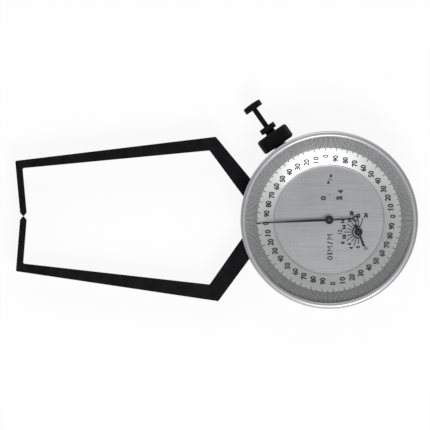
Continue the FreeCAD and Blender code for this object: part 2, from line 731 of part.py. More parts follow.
def moving_arm():
    """Upper arm with its thin hub, push finger, spring tail and sector seat."""
    blank = arm_blank(upper_outline())
    under = rod(PIVOT, FOOT_R + 2.0 * ARM_CLEARANCE, ARM_Z, HUB_Z)
    over = rod(PIVOT, SADDLE_R + ARM_CLEARANCE, SECTOR_Z, ARM_TOP_Z)
    blank = blank.cut([under, over])
    bearing = finger_bearing()
    outer_face = polar(FINGER_TIP_R, bearing, PIVOT)
    across = polar(FINGER_T, bearing - 90.0)
    inner_face = (outer_face[0] + across[0], outer_face[1] + across[1])
    finger_root = (PIVOT_X + across[0], PIVOT_Y + across[1])
    finger = plate([PIVOT, outer_face, inner_face, finger_root], HUB_Z, SECTOR_Z)
    pad_low = ARM_MID_Z - FINGER_PAD_H / 2.0
    pad = plate([PIVOT, outer_face, inner_face, finger_root], pad_low, HUB_Z)
    pad = pad.cut(rod(PIVOT, FINGER_PAD_R, pad_low, HUB_Z))
    tail_end = polar(TAIL_R, TAIL_ANGLE, PIVOT)
    hub = [rod(PIVOT, HUB_R, HUB_Z, SECTOR_Z),
           wedge(PIVOT, SADDLE_R, SADDLE_START_ANGLE, SADDLE_END_ANGLE, HUB_Z, SECTOR_Z),
           finger, pad,
           bar(PIVOT, tail_end, TAIL_W, TAIL_W, HUB_Z, SECTOR_Z),
           rod(tail_end, TAIL_W / 2.0, HUB_Z, SECTOR_Z)]
    arm = fused([blank] + hub)
    cuts = [rod(PIVOT, STUD_R + SHAFT_CLEARANCE + BUSH_WALL, HUB_Z, SECTOR_Z),
            rod(tail_end, SPRING_PIN_R, HUB_Z, SECTOR_Z)]
    for angle in SECTOR_SCREW_ANGLES:
        place = polar(SECTOR_SCREW_R, angle, PIVOT)
        cuts.append(rod(place, SECTOR_SCREW_SHANK_R, HUB_Z, SECTOR_Z))
    return arm.cut(cuts)


def hub_bush():
    inner = STUD_R + SHAFT_CLEARANCE
    return tube(PIVOT, inner + BUSH_WALL, inner, HUB_Z, ARM_TOP_Z)


def spring_pin():
    """Pin in the moving arm's tail that the return spring pulls on."""
    return rod(polar(TAIL_R, TAIL_ANGLE, PIVOT), SPRING_PIN_R, SPRING_PIN_Z, SECTOR_Z)


# Sector and gear train

def sector_gear():
    """Window shaped blade with inside teeth, so that it turns the pinion its own way."""
    pitch = 360.0 / SECTOR_RING_TEETH
    tip = SECTOR_R - ADDENDUM * SECTOR_MODULE
    root = SECTOR_R + DEDENDUM * SECTOR_MODULE
    outer_r = root + SECTOR_RIM_W
    space = flank(SECTOR_R, 1.0 - TOOTH_SHARE, SECTOR_RING_TEETH, (tip, root))
    pinion_r = SECTOR_MODULE * (COUNTER_PINION_TEETH / 2.0 + ADDENDUM)
    room = math.degrees((pinion_r + SECTOR_SIDE_ROOM) / math.dist(PIVOT, COUNTER))
    bar_angle = math.degrees(SECTOR_BAR_W / math.dist(PIVOT, COUNTER))
    start = COUNTER_BEARING - room - bar_angle
    end = COUNTER_BEARING + ARM_SWING + room + bar_angle
    spare = int((room + bar_angle - pitch) / pitch)
    inner = []
    for index in range(-spare, math.ceil(ARM_SWING / pitch) + spare):
        gap = COUNTER_BEARING + index * pitch
        inner.append(polar(tip, gap - space[0], PIVOT))
        inner.append(polar(root, gap - space[1], PIVOT))
        inner.append(polar(root, gap + space[1], PIVOT))
        inner.append(polar(tip, gap + space[0], PIVOT))
    middle = polar(outer_r, (start + end) / 2.0, PIVOT)
    outline = [polar(tip, start, PIVOT)] + inner
    outline += [polar(tip, end, PIVOT), polar(outer_r, end, PIVOT)]
    outline.append(middle + polar(outer_r, start, PIVOT))
    rim = plate(outline, SECTOR_Z, ARM_TOP_Z)
    seat_r = root + SECTOR_RIM_W / 2.0
    half = SECTOR_BAR_W / 2.0
    side = bar_angle / 2.0
    ends = ((polar(HUB_R - half, -90.0, PIVOT), polar(seat_r, start + side, PIVOT)),
            (polar(HUB_R - half, 90.0, PIVOT), polar(seat_r, end - side, PIVOT)))
    blade = [rim, rod(PIVOT, HUB_R, SECTOR_Z, ARM_TOP_Z),
             wedge(PIVOT, SADDLE_R, SADDLE_START_ANGLE, SADDLE_END_ANGLE, SECTOR_Z, ARM_TOP_Z)]
    for root_end, rim_end in ends:
        blade.append(bar(root_end, rim_end, SECTOR_BAR_W, SECTOR_BAR_W, SECTOR_Z, ARM_TOP_Z))
    cuts = [rod(PIVOT, STUD_R + SHAFT_CLEARANCE + BUSH_WALL, SECTOR_Z, ARM_TOP_Z)]
    for angle in SECTOR_SCREW_ANGLES:
        place = polar(SECTOR_SCREW_R, angle, PIVOT)
        cuts.append(rod(place, SECTOR_SCREW_SHANK_R, SECTOR_Z, ARM_TOP_Z))
    return fused(blade).cut(cuts)


def sector_screws():
    """Screws that hold the sector on the arm, heads towards the dial."""
    screws = []
    for angle in SECTOR_SCREW_ANGLES:
        place = polar(SECTOR_SCREW_R, angle, PIVOT)
        head = rod(place, SECTOR_SCREW_HEAD_R, ARM_TOP_Z, ARM_TOP_Z + SCREW_HEAD_H)
        shank = rod(place, SECTOR_SCREW_SHANK_R, HUB_Z + FACE_CLEARANCE, ARM_TOP_Z)
        screws.append(fused([head, shank]))
    return screws


def arbor(centre, top_z, collars):
    """A stepped shaft: thin ends in the bushes, a thicker body between the plates."""
    body_low = PLATE_TOP_Z + FACE_CLEARANCE
    body_top = WEB_Z - FACE_CLEARANCE
    pieces = [rod(centre, PIVOT_END_R, PLATE_Z, top_z), rod(centre, ARBOR_R, body_low, body_top)]
    for radius, low, high in collars:
        pieces.append(rod(centre, radius, low, high))
    return pieces


def crossed_wheel(centre, phase, low):
    """A thin brass wheel with round holes, on a small hub."""
    wheel = gear(centre, WHEEL_MODULE, WHEEL_TEETH, phase, 1, low, low + WHEEL_T)
    cuts = [rod(centre, ARBOR_R, low, low + WHEEL_T)]
    rim_r = WHEEL_MODULE * (WHEEL_TEETH / 2.0 - DEDENDUM) - WHEEL_RIM_W
    land_r = WHEEL_HUB_R + WHEEL_HUB_LAND
    for index in range(WHEEL_HOLES):
        place = polar((rim_r + land_r) / 2.0, 360.0 * index / WHEEL_HOLES, centre)
        cuts.append(rod(place, (rim_r - land_r) / 2.0, low, low + WHEEL_T))
    return wheel.cut(cuts)


def counter_arbor():
    pinion = gear(COUNTER, SECTOR_MODULE, COUNTER_PINION_TEETH, COUNTER_BEARING, 3,
                  PINION_Z, PINION_TOP_Z)
    collar = (WHEEL_HUB_R, PINION_TOP_Z, COUNTER_WHEEL_Z)
    return fused(arbor(COUNTER, HAND_Z + HAND_T, [collar]) + [pinion])


def counter_wheel():
    return crossed_wheel(COUNTER, CENTRE_BEARING, COUNTER_WHEEL_Z)


def centre_phase():
    return meshing_phase(WHEEL_TEETH, CENTRE_BEARING, CENTRE_PINION_TEETH, CENTRE_BEARING)


def centre_arbor():
    pinion = gear((0, 0), WHEEL_MODULE, CENTRE_PINION_TEETH, centre_phase(), 3,
                  CENTRE_PINION_Z, CENTRE_PINION_TOP_Z)
    body_low = PLATE_TOP_Z + FACE_CLEARANCE
    root_r = WHEEL_MODULE * (CENTRE_PINION_TEETH / 2.0 - DEDENDUM)
    pieces = [rod((0, 0), PIVOT_END_R, PLATE_Z, POINTER_Z + POINTER_T),
              rod((0, 0), ARBOR_R, body_low, CENTRE_PINION_Z),
              rod((0, 0), root_r, CENTRE_PINION_TOP_Z, WEB_Z - FACE_CLEARANCE)]
    return fused(pieces + [pinion])


def takeup_wheel():
    phase = meshing_phase(CENTRE_PINION_TEETH, centre_phase(), WHEEL_TEETH, TAKEUP_ANGLE)
    return crossed_wheel(TAKEUP, phase, TAKEUP_WHEEL_Z)


def takeup_arbor():
    collar = (WHEEL_HUB_R, TAKEUP_WHEEL_Z - PINION_SIDE, TAKEUP_WHEEL_Z)
    return fused(arbor(TAKEUP, CASE_TOP_Z - FACE_CLEARANCE, [collar]))


# Springs

def hairspring_collet():
    top = HAIRSPRING_Z + HAIRSPRING_H
    return tube(TAKEUP, COLLET_R, ARBOR_R, TAKEUP_WHEEL_Z + WHEEL_T, top)


def hairspring():
    """Flat spiral strip that keeps the gear train's play to one side."""
    inner, outer = [], []
    radius = COLLET_R + HAIRSPRING_STRIP
    start_x = TAKEUP[0]
    step = HAIRSPRING_PITCH / 2.0
    side = 1.0
    left = TAKEUP[0] + radius
    for half_turn in range(2 * HAIRSPRING_TURNS):
        mid = (start_x, TAKEUP[1] + side * radius)
        end = start_x - side * radius
        outer.append((mid[0], mid[1] + side * HAIRSPRING_STRIP / 2.0,
                      end - side * HAIRSPRING_STRIP / 2.0, TAKEUP[1]))
        inner.append((mid[0], mid[1] - side * HAIRSPRING_STRIP / 2.0,
                      end + side * HAIRSPRING_STRIP / 2.0, TAKEUP[1]))
        start_x = end + side * (radius + step / 2.0)
        radius += step / 2.0
        side = -side
    back = []
    starts = [(left - HAIRSPRING_STRIP / 2.0, TAKEUP[1])] + [arc[2:] for arc in inner[:-1]]
    for arc, begin in zip(reversed(inner), reversed(starts)):
        back.append(arc[:2] + begin)
    first = (left + HAIRSPRING_STRIP / 2.0, TAKEUP[1])
    outline = [first] + outer + [inner[-1][2:]] + back
    return plate(outline, HAIRSPRING_Z, HAIRSPRING_Z + HAIRSPRING_H), outer[-1][2:]


def hairspring_stud(end):
    """Post under the web that holds the spiral's outer end."""
    place = (end[0] + HAIR_STUD_R, end[1])
    return rod(place, HAIR_STUD_R, HAIRSPRING_Z, WEB_Z)


def spring_post():
    """Grooved post on the base plate for the return spring's fixed eye."""
    return rod((SPRING_POST_X, SPRING_POST_Y), SPRING_POST_R, PLATE_Z, SPRING_Z + SPRING_R)


def eye(centre, pin_r):
    """Closed wire loop about an upright pin."""
    ring_r = pin_r + SPRING_EYE_GAP + SPRING_WIRE / 2.0
    return Part.makeTorus(ring_r, SPRING_WIRE / 2.0, V(centre[0], centre[1], SPRING_Z)), ring_r


def return_spring():
    """Tension spring between the base plate's post and the moving arm's tail."""
    pin = polar(TAIL_R, TAIL_ANGLE, PIVOT)
    post = (SPRING_POST_X, SPRING_POST_Y)
    run = math.dist(pin, post)
    ux, uy = (post[0] - pin[0]) / run, (post[1] - pin[1]) / run
    pin_eye, pin_ring = eye(pin, SPRING_PIN_R)
    post_eye, post_ring = eye(post, SPRING_POST_R)
    low = pin_ring + SPRING_HOOK_LENGTH
    high = run - post_ring - SPRING_HOOK_LENGTH
    rib = (high - low) / SPRING_RIBS
    steps = [(0, low), (SPRING_R, low)]
    for index in range(SPRING_RIBS):
        base = low + index * rib
        if index:
            steps.append((SPRING_R, base))
        steps.append((SPRING_R, base + RIB_LAND_SHARE * rib))
        steps.append((SPRING_R - SPRING_WIRE / 2.0, base + RIB_GROOVE_SHARE * rib))
    steps += [(SPRING_R, high), (0, high)]
    coil = lathe(steps)
    wires = [Part.makeCylinder(SPRING_WIRE / 2.0, low - pin_ring, V(0, 0, pin_ring)),
             Part.makeCylinder(SPRING_WIRE / 2.0, run - post_ring - high, V(0, 0, high))]
    lay = FreeCAD.Placement(V(pin[0], pin[1], SPRING_Z),
                            FreeCAD.Rotation(V(0, 0, 1), V(ux, uy, 0)))
    pieces = [coil] + wires
    for piece in pieces:
        piece.Placement = lay
    return fused(pieces + [pin_eye, post_eye])


# Dial side

def dial_plate():
    """Fixed inner dial with two feet in the web."""
    disc = rod((0, 0), DIAL_R, CASE_TOP_Z, DIAL_TOP_Z)
    feet = [rod(polar(DIAL_FOOT_AT, bearing), DIAL_FOOT_R, WEB_Z, CASE_TOP_Z)
            for bearing in DIAL_FOOT_ANGLES]
    holes = [rod(centre, ARBOR_HOLE_R, CASE_TOP_Z, DIAL_TOP_Z) for centre in ((0, 0), COUNTER)]
    return fused([disc] + feet).cut(holes)


def scale_ring():
    """Outer dial that turns with the bezel, a step above the inner one and dished outwards."""
    return lathe([(SCALE_BORE_R, SCALE_RING_Z), (BEZEL_BORE_R, SCALE_RING_Z),
                  (BEZEL_BORE_R, SCALE_OUTER_Z), (BEZEL_LIP_R, SCALE_OUTER_Z),
                  (SCALE_BORE_R, SCALE_INNER_Z)])


def bezel():
    """Turned ring with a glass lip, a rounded rim and relief grooves beside its grip band."""
    round_z = BEZEL_TOP_Z - BEZEL_ROUND
    round_r = BEZEL_R - BEZEL_ROUND
    lean = math.sqrt(0.5) * BEZEL_ROUND
    lip_z = BEZEL_TOP_Z - BEZEL_LIP_T
    chamfer = BEZEL_RELIEF
    waist_r = BEZEL_R - BEZEL_RELIEF
    waist_z = round_z - BEZEL_RELIEF_W
    groove_r = SPRING_RING_R + SPRING_RING_W + BEZEL_CLEARANCE
    groove_low = SPRING_RING_Z - FACE_CLEARANCE
    groove_top = SPRING_RING_Z + SPRING_RING_H + FACE_CLEARANCE
    return lathe([(BEZEL_BORE_R, BEZEL_Z), (waist_r, BEZEL_Z), (BEZEL_R, BEZEL_Z + chamfer),
                  (BEZEL_R, waist_z - chamfer), (waist_r, waist_z), (BEZEL_R, waist_z + chamfer),
                  (BEZEL_R, round_z), (round_r + lean, round_z + lean, round_r, BEZEL_TOP_Z),
                  (BEZEL_LIP_R + chamfer, BEZEL_TOP_Z), (BEZEL_LIP_R, BEZEL_TOP_Z - chamfer),
                  (BEZEL_LIP_R, lip_z), (BEZEL_BORE_R, lip_z), (BEZEL_BORE_R, groove_top),
                  (groove_r, groove_top), (groove_r, groove_low), (BEZEL_BORE_R, groove_low)])


def glass():
    return rod((0, 0), BEZEL_BORE_R, GLASS_Z, GLASS_Z + GLASS_T)


def glass_seat_ring():
    """Spacer between the outer dial and the glass."""
    return tube((0, 0), BEZEL_BORE_R, BEZEL_LIP_R, SCALE_OUTER_Z, GLASS_Z)


def bezel_spring_ring():
    """Split spring ring that keeps the bezel on the neck and gives it drag."""
    ring = tube((0, 0), SPRING_RING_R + SPRING_RING_W, SPRING_RING_R, SPRING_RING_Z,
                SPRING_RING_Z + SPRING_RING_H)
    gap = wedge((0, 0), CASE_R, -SPRING_RING_GAP / 2.0, SPRING_RING_GAP / 2.0, SPRING_RING_Z,
                SPRING_RING_Z + SPRING_RING_H)
    return ring.cut(gap)


def pointer():
    """Long pointer with a boss and a ring on its tail."""
    low, high = POINTER_Z, POINTER_Z + POINTER_T
    tip = polar(POINTER_LENGTH, POINTER_ANGLE)
    tail = polar(POINTER_TAIL, POINTER_ANGLE + 180.0)
    neck = polar(POINTER_TAIL - POINTER_RING_HOLE_R, POINTER_ANGLE + 180.0)
    pieces = [rod((0, 0), POINTER_BOSS_R, low, high + POINTER_BOSS_H),
              bar((0, 0), tip, POINTER_ROOT_W, POINTER_TIP_W, low, high),
              bar((0, 0), neck, POINTER_TAIL_W, POINTER_TAIL_W, low, high),
              rod(tail, POINTER_RING_R, low, high)]
    return fused(pieces).cut([rod(tail, POINTER_RING_HOLE_R, low, high),
                              rod((0, 0), PIVOT_END_R, low, high)])


def counter_hand():
    """Short hand of the turn counter."""
    low, high = HAND_Z, HAND_Z + HAND_T
    tip = polar(HAND_LENGTH, HAND_ANGLE, COUNTER)
    tail = polar(HAND_TAIL, HAND_ANGLE + 180.0, COUNTER)
    pieces = [rod(COUNTER, HAND_BOSS_R, low, high + HAND_BOSS_H),
              bar(COUNTER, tip, HAND_ROOT_W, HAND_TIP_W, low, high),
              bar(COUNTER, tail, HAND_ROOT_W, HAND_TAIL_W, low, high)]
    return fused(pieces).cut(rod(COUNTER, PIVOT_END_R, low, high))


# Plunger

def rod_end():
    """How far out the rod's inner end lies when it rests on the finger."""
    to_pivot = (PIVOT_X - AXIS_FOOT[0], PIVOT_Y - AXIS_FOOT[1])
    square_out = to_pivot[0] * AXIS_OUT[0] + to_pivot[1] * AXIS_OUT[1]
    return square_out + LEVER * math.tan(math.radians(ARM_SWING / 2.0)) + ROD_END_GAP


def push_rod():
    end = rod_end()
    middle = dome_middle(ROD_R, end + ROD_DOME, -ROD_DOME)
    return along_plunger(lathe([(0, end), middle + (ROD_R, end + ROD_DOME),
                                (ROD_R, HEAD_AT), (0, HEAD_AT)]))


def push_button():
    """Flat round head with a slightly domed top."""
    top = HEAD_AT + HEAD_T
    face_r = HEAD_R - HEAD_EDGE
    middle = dome_middle(face_r, top, HEAD_DOME)
    return along_plunger(lathe([(0, HEAD_AT), (face_r, HEAD_AT), (HEAD_R, HEAD_AT + HEAD_EDGE),
                                (HEAD_R, top - HEAD_EDGE), (face_r, top),
                                middle + (0, top + HEAD_DOME)]))


def rod_clip():
    """Ring on the rod that stops it leaving the guide."""
    top = GUIDE_INNER_AT - FACE_CLEARANCE
    return along_plunger(tube((0, 0), CLIP_R, ROD_R, top - CLIP_T, top))


def plunger_guide():
    """Boss pressed in the case wall with the thinner tube that the knob turns on."""
    bore = ROD_R + SHAFT_CLEARANCE
    boss_top = KNOB_AT - FACE_CLEARANCE
    return along_plunger(lathe([(bore, GUIDE_INNER_AT), (GUIDE_BOSS_R, GUIDE_INNER_AT),
                                (GUIDE_BOSS_R, boss_top), (TUBE_R, boss_top),
                                (TUBE_R, COLLAR_AT), (bore, COLLAR_AT)]))


def guide_collar():
    """Ring nut on the tube's end that keeps the knob on."""
    bore = ROD_R + SHAFT_CLEARANCE
    top = COLLAR_AT + COLLAR_T
    face_r = COLLAR_R - COLLAR_EDGE
    return along_plunger(lathe([(bore, COLLAR_AT), (face_r, COLLAR_AT),
                                (COLLAR_R, COLLAR_AT + COLLAR_EDGE),
                                (COLLAR_R, top - COLLAR_EDGE), (face_r, top), (bore, top)]))


def clamp_knob():
    """Round knob that clamps the plunger, with well rounded rims."""
    bore = TUBE_R + SHAFT_CLEARANCE
    top = KNOB_AT + KNOB_L
    inner_r = KNOB_R - KNOB_ROUND
    lean = math.sqrt(0.5) * KNOB_ROUND
    return along_plunger(lathe([(bore, KNOB_AT), (inner_r, KNOB_AT),
                                (inner_r + lean, KNOB_AT + KNOB_ROUND - lean,
                                 KNOB_R, KNOB_AT + KNOB_ROUND),
                                (KNOB_R, top - KNOB_ROUND),
                                (inner_r + lean, top - KNOB_ROUND + lean, inner_r, top),
                                (bore, top)]))


os.makedirs("parts", exist_ok=True)
save("case_body", case_body())
save("back_cover", back_cover())
save("cover_screws", cover_screws())
save("base_plate", base_plate())
save("movement_pillars", movement_pillars())
save("plate_screws", plate_screws())
save("arbor_bushes", arbor_bushes())
save("fixed_arm", fixed_arm())
save("fixed_arm_screws", fixed_arm_screws())
save("fixed_arm_dowels", fixed_arm_dowels())
save("pivot_stud", pivot_stud())
save("pivot_nut", pivot_nut())
save("moving_arm", moving_arm())
save("hub_bush", hub_bush())
save("spring_pin", spring_pin())
save("sector_gear", sector_gear())
save("sector_screws", sector_screws())
save("counter_arbor", counter_arbor())
save("counter_wheel", counter_wheel())
save("centre_arbor", centre_arbor())
save("takeup_wheel", takeup_wheel())
save("takeup_arbor", takeup_arbor())
save("hairspring_collet", hairspring_collet())
spiral, spiral_end = hairspring()
save("hairspring", spiral)
save("hairspring_stud", hairspring_stud(spiral_end))
save("spring_post", spring_post())
save("return_spring", return_spring())
save("dial_plate", dial_plate())
save("scale_ring", scale_ring())
save("bezel", bezel())
save("glass", glass())
save("glass_seat_ring", glass_seat_ring())
save("bezel_spring_ring", bezel_spring_ring())
save("pointer", pointer())
save("counter_hand", counter_hand())
save("push_rod", push_rod())
save("push_button", push_button())
save("rod_clip", rod_clip())
save("plunger_guide", plunger_guide())
save("guide_collar", guide_collar())
save("clamp_knob", clamp_knob())
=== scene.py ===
import math
import bmesh
import bpy
from mathutils import Matrix, Vector


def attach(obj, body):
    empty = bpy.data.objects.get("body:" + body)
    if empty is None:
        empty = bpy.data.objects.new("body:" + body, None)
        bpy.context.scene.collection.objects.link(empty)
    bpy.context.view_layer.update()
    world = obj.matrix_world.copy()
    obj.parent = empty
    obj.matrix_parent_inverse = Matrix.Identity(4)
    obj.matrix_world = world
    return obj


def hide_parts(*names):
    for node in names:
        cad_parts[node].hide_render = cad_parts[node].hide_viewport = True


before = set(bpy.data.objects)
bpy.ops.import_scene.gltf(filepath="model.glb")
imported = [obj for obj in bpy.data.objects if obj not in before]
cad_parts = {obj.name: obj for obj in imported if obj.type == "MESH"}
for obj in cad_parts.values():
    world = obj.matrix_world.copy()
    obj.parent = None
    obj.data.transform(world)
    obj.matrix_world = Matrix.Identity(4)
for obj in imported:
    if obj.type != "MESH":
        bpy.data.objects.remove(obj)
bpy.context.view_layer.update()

# Outside dial caliper gauge, lying on its back cover with the dial up and the arms to the left.


# Studio: a white table, a soft lamp beyond the gauge's top edge, a smaller one nearer the
# reader and a weak one almost over the dial, which the number band mirrors. The lens is long
# and stands square above the dial.
MM = 0.001
PHOTO_WIDTH = 139.7 * MM
PHOTO_CENTRE = (-37.1 * MM, 1.59 * MM)
DIAL_Z = 15.3 * MM
LENS = 800.0
SENSOR = 36.0
LAMP_AIM = (0.0, 0.0, 10.0 * MM)
FLOOR_HALF = 3.0
FLOOR_Z = -0.02 * MM
FLOOR_GLOW = 0.9


def add(tree, kind, inputs=None, **settings):
    """A node with its settings, and its inputs given as numbers or as other nodes' sockets."""
    made = tree.nodes.new(kind)
    for name, value in settings.items():
        setattr(made, name, value)
    for name, value in (inputs or {}).items():
        if isinstance(value, bpy.types.NodeSocket):
            tree.links.new(value, made.inputs[name])
        else:
            made.inputs[name].default_value = value
    return made


def link_object(thing, name):
    """A new object in the scene that shows a mesh, curve, lamp or camera."""
    made = bpy.data.objects.new(name, thing)
    bpy.context.scene.collection.objects.link(made)
    return made


def soft_lamp(name, place, aim, size, watts):
    """A square area lamp turned towards a point."""
    lamp = bpy.data.lights.new(name, "AREA")
    lamp.shape = "SQUARE"
    lamp.size = size
    lamp.energy = watts
    made = link_object(lamp, name)
    made.location = place
    made.rotation_euler = (Vector(aim) - Vector(place)).to_track_quat("-Z", "Y").to_euler()


lens = bpy.data.cameras.new("camera")
lens.lens = LENS
lens.sensor_width = SENSOR
lens.clip_start = 0.01
lens.clip_end = 20.0
camera = link_object(lens, "camera")
camera.location = (PHOTO_CENTRE[0], PHOTO_CENTRE[1], DIAL_Z + PHOTO_WIDTH * LENS / SENSOR)
bpy.context.scene.camera = camera
bpy.context.scene.view_settings.view_transform = "Standard"

soft_lamp("far_lamp", (-0.05, 0.48, 0.3), LAMP_AIM, size=0.30, watts=0.5)
soft_lamp("near_lamp", (0.06, -0.26, 0.46), LAMP_AIM, size=0.16, watts=1.08)
soft_lamp("dial_lamp", (0.018, -0.082, 0.515), (0.0, 0.0, 0.015), size=0.09, watts=0.088)

world = bpy.data.worlds.new("white_room")
bpy.context.scene.world = world
world.use_nodes = True
air = world.node_tree
sky = add(air, "ShaderNodeTexCoord")
upward = add(air, "ShaderNodeSeparateXYZ", {"Vector": sky.outputs["Generated"]})
# The sky is dim straight above and brighter lower down, most of all on the left.
high = add(air, "ShaderNodeMapRange", {"Value": upward.outputs["Y"], "From Min": -0.5,
                                       "From Max": 0.5, "To Min": 0.4, "To Max": 0.2})
aside = add(air, "ShaderNodeMath", {0: upward.outputs["X"], 1: 0.15}, operation="ADD")
aside = add(air, "ShaderNodeMath", {0: aside.outputs[0]}, operation="ABSOLUTE")
low = add(air, "ShaderNodeMapRange", {"Value": aside.outputs[0], "From Min": 0.15,
                                      "From Max": 1.05, "To Min": 1.0, "To Max": 0.4})
overhead = add(air, "ShaderNodeMapRange", {"Value": upward.outputs["Z"], "From Min": 0.5,
                                           "From Max": 1.0, "To Min": low.outputs[0],
                                           "To Max": high.outputs[0]})
air.links.new(overhead.outputs[0], air.nodes["Background"].inputs["Strength"])
air.nodes["Background"].inputs["Color"].default_value = (1.0, 1.0, 1.0, 1.0)

floor_mesh = bpy.data.meshes.new("floor")
floor_mesh.from_pydata([(-FLOOR_HALF, -FLOOR_HALF, FLOOR_Z), (FLOOR_HALF, -FLOOR_HALF, FLOOR_Z),
                        (FLOOR_HALF, FLOOR_HALF, FLOOR_Z), (-FLOOR_HALF, FLOOR_HALF, FLOOR_Z)],
                       [], [(0, 1, 2, 3)])
floor = link_object(floor_mesh, "floor")
table_white = bpy.data.materials.new("table_white")
table_white.use_nodes = True
tree = table_white.node_tree
tree.nodes["Principled BSDF"].inputs["Base Color"].default_value = (0.97, 0.97, 0.97, 1.0)
tree.nodes["Principled BSDF"].inputs["Roughness"].default_value = 0.9
seen = add(tree, "ShaderNodeLightPath")
whole = add(tree, "ShaderNodeEmission", {"Color": (1.0, 1.0, 1.0, 1.0), "Strength": 1.0})
direct = add(tree, "ShaderNodeMath", {0: seen.outputs["Is Camera Ray"],
                                      1: seen.outputs["Is Transmission Ray"]}, operation="MAXIMUM")
mirrored = add(tree, "ShaderNodeMath", {0: direct.outputs[0],
                                        1: seen.outputs["Is Glossy Ray"]}, operation="MAXIMUM")
share = add(tree, "ShaderNodeMath", {0: mirrored.outputs[0], 1: FLOOR_GLOW}, operation="MULTIPLY")
blend = add(tree, "ShaderNodeMixShader", {0: share.outputs[0],
                                          1: tree.nodes["Principled BSDF"].outputs[0],
                                          2: whole.outputs[0]})
tree.links.new(blend.outputs[0], tree.nodes["Material Output"].inputs["Surface"])
floor_mesh.materials.append(table_white)


# Case: a cup turned from steel bar and milled out for the two arms, then satin blasted. The
# cover is a stamped disc, brushed in a circle and held by four countersunk screws.
def finish_of(name, colour, metallic, roughness, **sockets):
    """A material whose even numbers sit on the shader's own sockets."""
    made = bpy.data.materials.new(name)
    made.use_nodes = True
    shader = made.node_tree.nodes["Principled BSDF"]
    shader.inputs["Base Color"].default_value = (*colour, 1.0)
    shader.inputs["Metallic"].default_value = metallic
    shader.inputs["Roughness"].default_value = roughness
    for socket, value in sockets.items():
        shader.inputs[socket.replace("_", " ")].default_value = value
    return made, made.node_tree, shader


def place_of(tree):
    """The object's own coordinates."""
    return add(tree, "ShaderNodeTexCoord").outputs["Object"]


def grain(tree, place, per_mm, detail=3.0, stretch=(1.0, 1.0, 1.0)):
    """Noise on the object's own coordinates, with so many spots to the millimetre."""
    laid = add(tree, "ShaderNodeMapping", {"Vector": place, "Scale": stretch})
    return add(tree, "ShaderNodeTexNoise", {"Vector": laid.outputs[0], "Scale": per_mm / MM,
                                            "Detail": detail}).outputs["Fac"]


def rings(tree, place, per_mm):
    """Noise that turning leaves: it changes across a face and up a wall, and not round them."""
    flat = add(tree, "ShaderNodeVectorMath", {0: place, 1: (1.0, 1.0, 0.0)}, operation="MULTIPLY")
    radius = add(tree, "ShaderNodeVectorMath", {0: flat.outputs["Vector"]}, operation="LENGTH")
    height = add(tree, "ShaderNodeSeparateXYZ", {"Vector": place}).outputs["Z"]
    along = add(tree, "ShaderNodeMath", {0: radius.outputs["Value"], 1: height}, operation="ADD")
    return add(tree, "ShaderNodeTexNoise", {"W": along.outputs[0], "Scale": per_mm / MM,
                                            "Detail": 4.0}, noise_dimensions="1D").outputs["Fac"]


def spread(tree, value, low, high):
    """Noise, which keeps near the middle, brought to a range."""
    return add(tree, "ShaderNodeMapRange", {"Value": value, "From Min": 0.3, "From Max": 0.7,
                                            "To Min": low, "To Max": high}).outputs[0]


def shades(tree, value, dark, light):
    """A colour between two, chosen by a noise."""
    ramp = add(tree, "ShaderNodeValToRGB", {"Fac": value})
    ramp.color_ramp.elements[0].position = 0.3
    ramp.color_ramp.elements[0].color = (*dark, 1.0)
    ramp.color_ramp.elements[1].position = 0.7
    ramp.color_ramp.elements[1].color = (*light, 1.0)
    return ramp.outputs["Color"]


def roughen(tree, shader, height, depth_mm, strength=0.5):
    """Fine relief, as deep as the real marks are."""
    relief = add(tree, "ShaderNodeBump", {"Height": height, "Distance": depth_mm * MM,
                                          "Strength": strength})
    tree.links.new(relief.outputs["Normal"], shader.inputs["Normal"])


def dress(material, *names):
    """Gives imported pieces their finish."""
    for name in names:
        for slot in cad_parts[name].material_slots:
            slot.material = material


turned_steel, tree, shader = finish_of("turned_steel", (0.46, 0.465, 0.475), 1.0, 0.4)
place = place_of(tree)
tree.links.new(shades(tree, rings(tree, place, 1.4), (0.42, 0.425, 0.435), (0.5, 0.505, 0.515)),
               shader.inputs["Base Color"])
tree.links.new(spread(tree, grain(tree, place, 1.5), 0.34, 0.48), shader.inputs["Roughness"])
roughen(tree, shader, rings(tree, place, 3.0), 0.02, 0.5)
dress(turned_steel, "case_body", "back_cover")

screw_steel, tree, shader = finish_of("screw_steel", (0.62, 0.63, 0.65), 1.0, 0.28)
place = place_of(tree)
tree.links.new(spread(tree, grain(tree, place, 2.5, stretch=(1.0, 6.0, 1.0)), 0.2, 0.38),
               shader.inputs["Roughness"])
roughen(tree, shader, grain(tree, place, 9.0), 0.004, 0.3)
dress(screw_steel, "cover_screws", "plate_screws", "sector_screws", "fixed_arm_screws",
      "fixed_arm_dowels", "pivot_stud", "pivot_nut", "movement_pillars", "hub_bush",
      "counter_arbor", "centre_arbor", "takeup_arbor", "spring_pin", "spring_post",
      "hairspring_stud", "rod_clip")


# Movement: brass base plate, bushes, wheels and sector, all fine grained with a warm polish.
# The bezel's retaining ring and both springs are blue grey spring steel.
brass, tree, shader = finish_of("brass", (0.72, 0.52, 0.23), 1.0, 0.3)
place = place_of(tree)
tree.links.new(shades(tree, grain(tree, place, 0.25), (0.66, 0.46, 0.19), (0.76, 0.57, 0.27)),
               shader.inputs["Base Color"])
tree.links.new(spread(tree, grain(tree, place, 1.5, stretch=(8.0, 1.0, 1.0)), 0.22, 0.4),
               shader.inputs["Roughness"])
roughen(tree, shader, grain(tree, place, 4.0, stretch=(12.0, 1.0, 1.0)), 0.004, 0.3)
dress(brass, "base_plate", "arbor_bushes", "counter_wheel", "takeup_wheel", "sector_gear",
      "hairspring_collet")

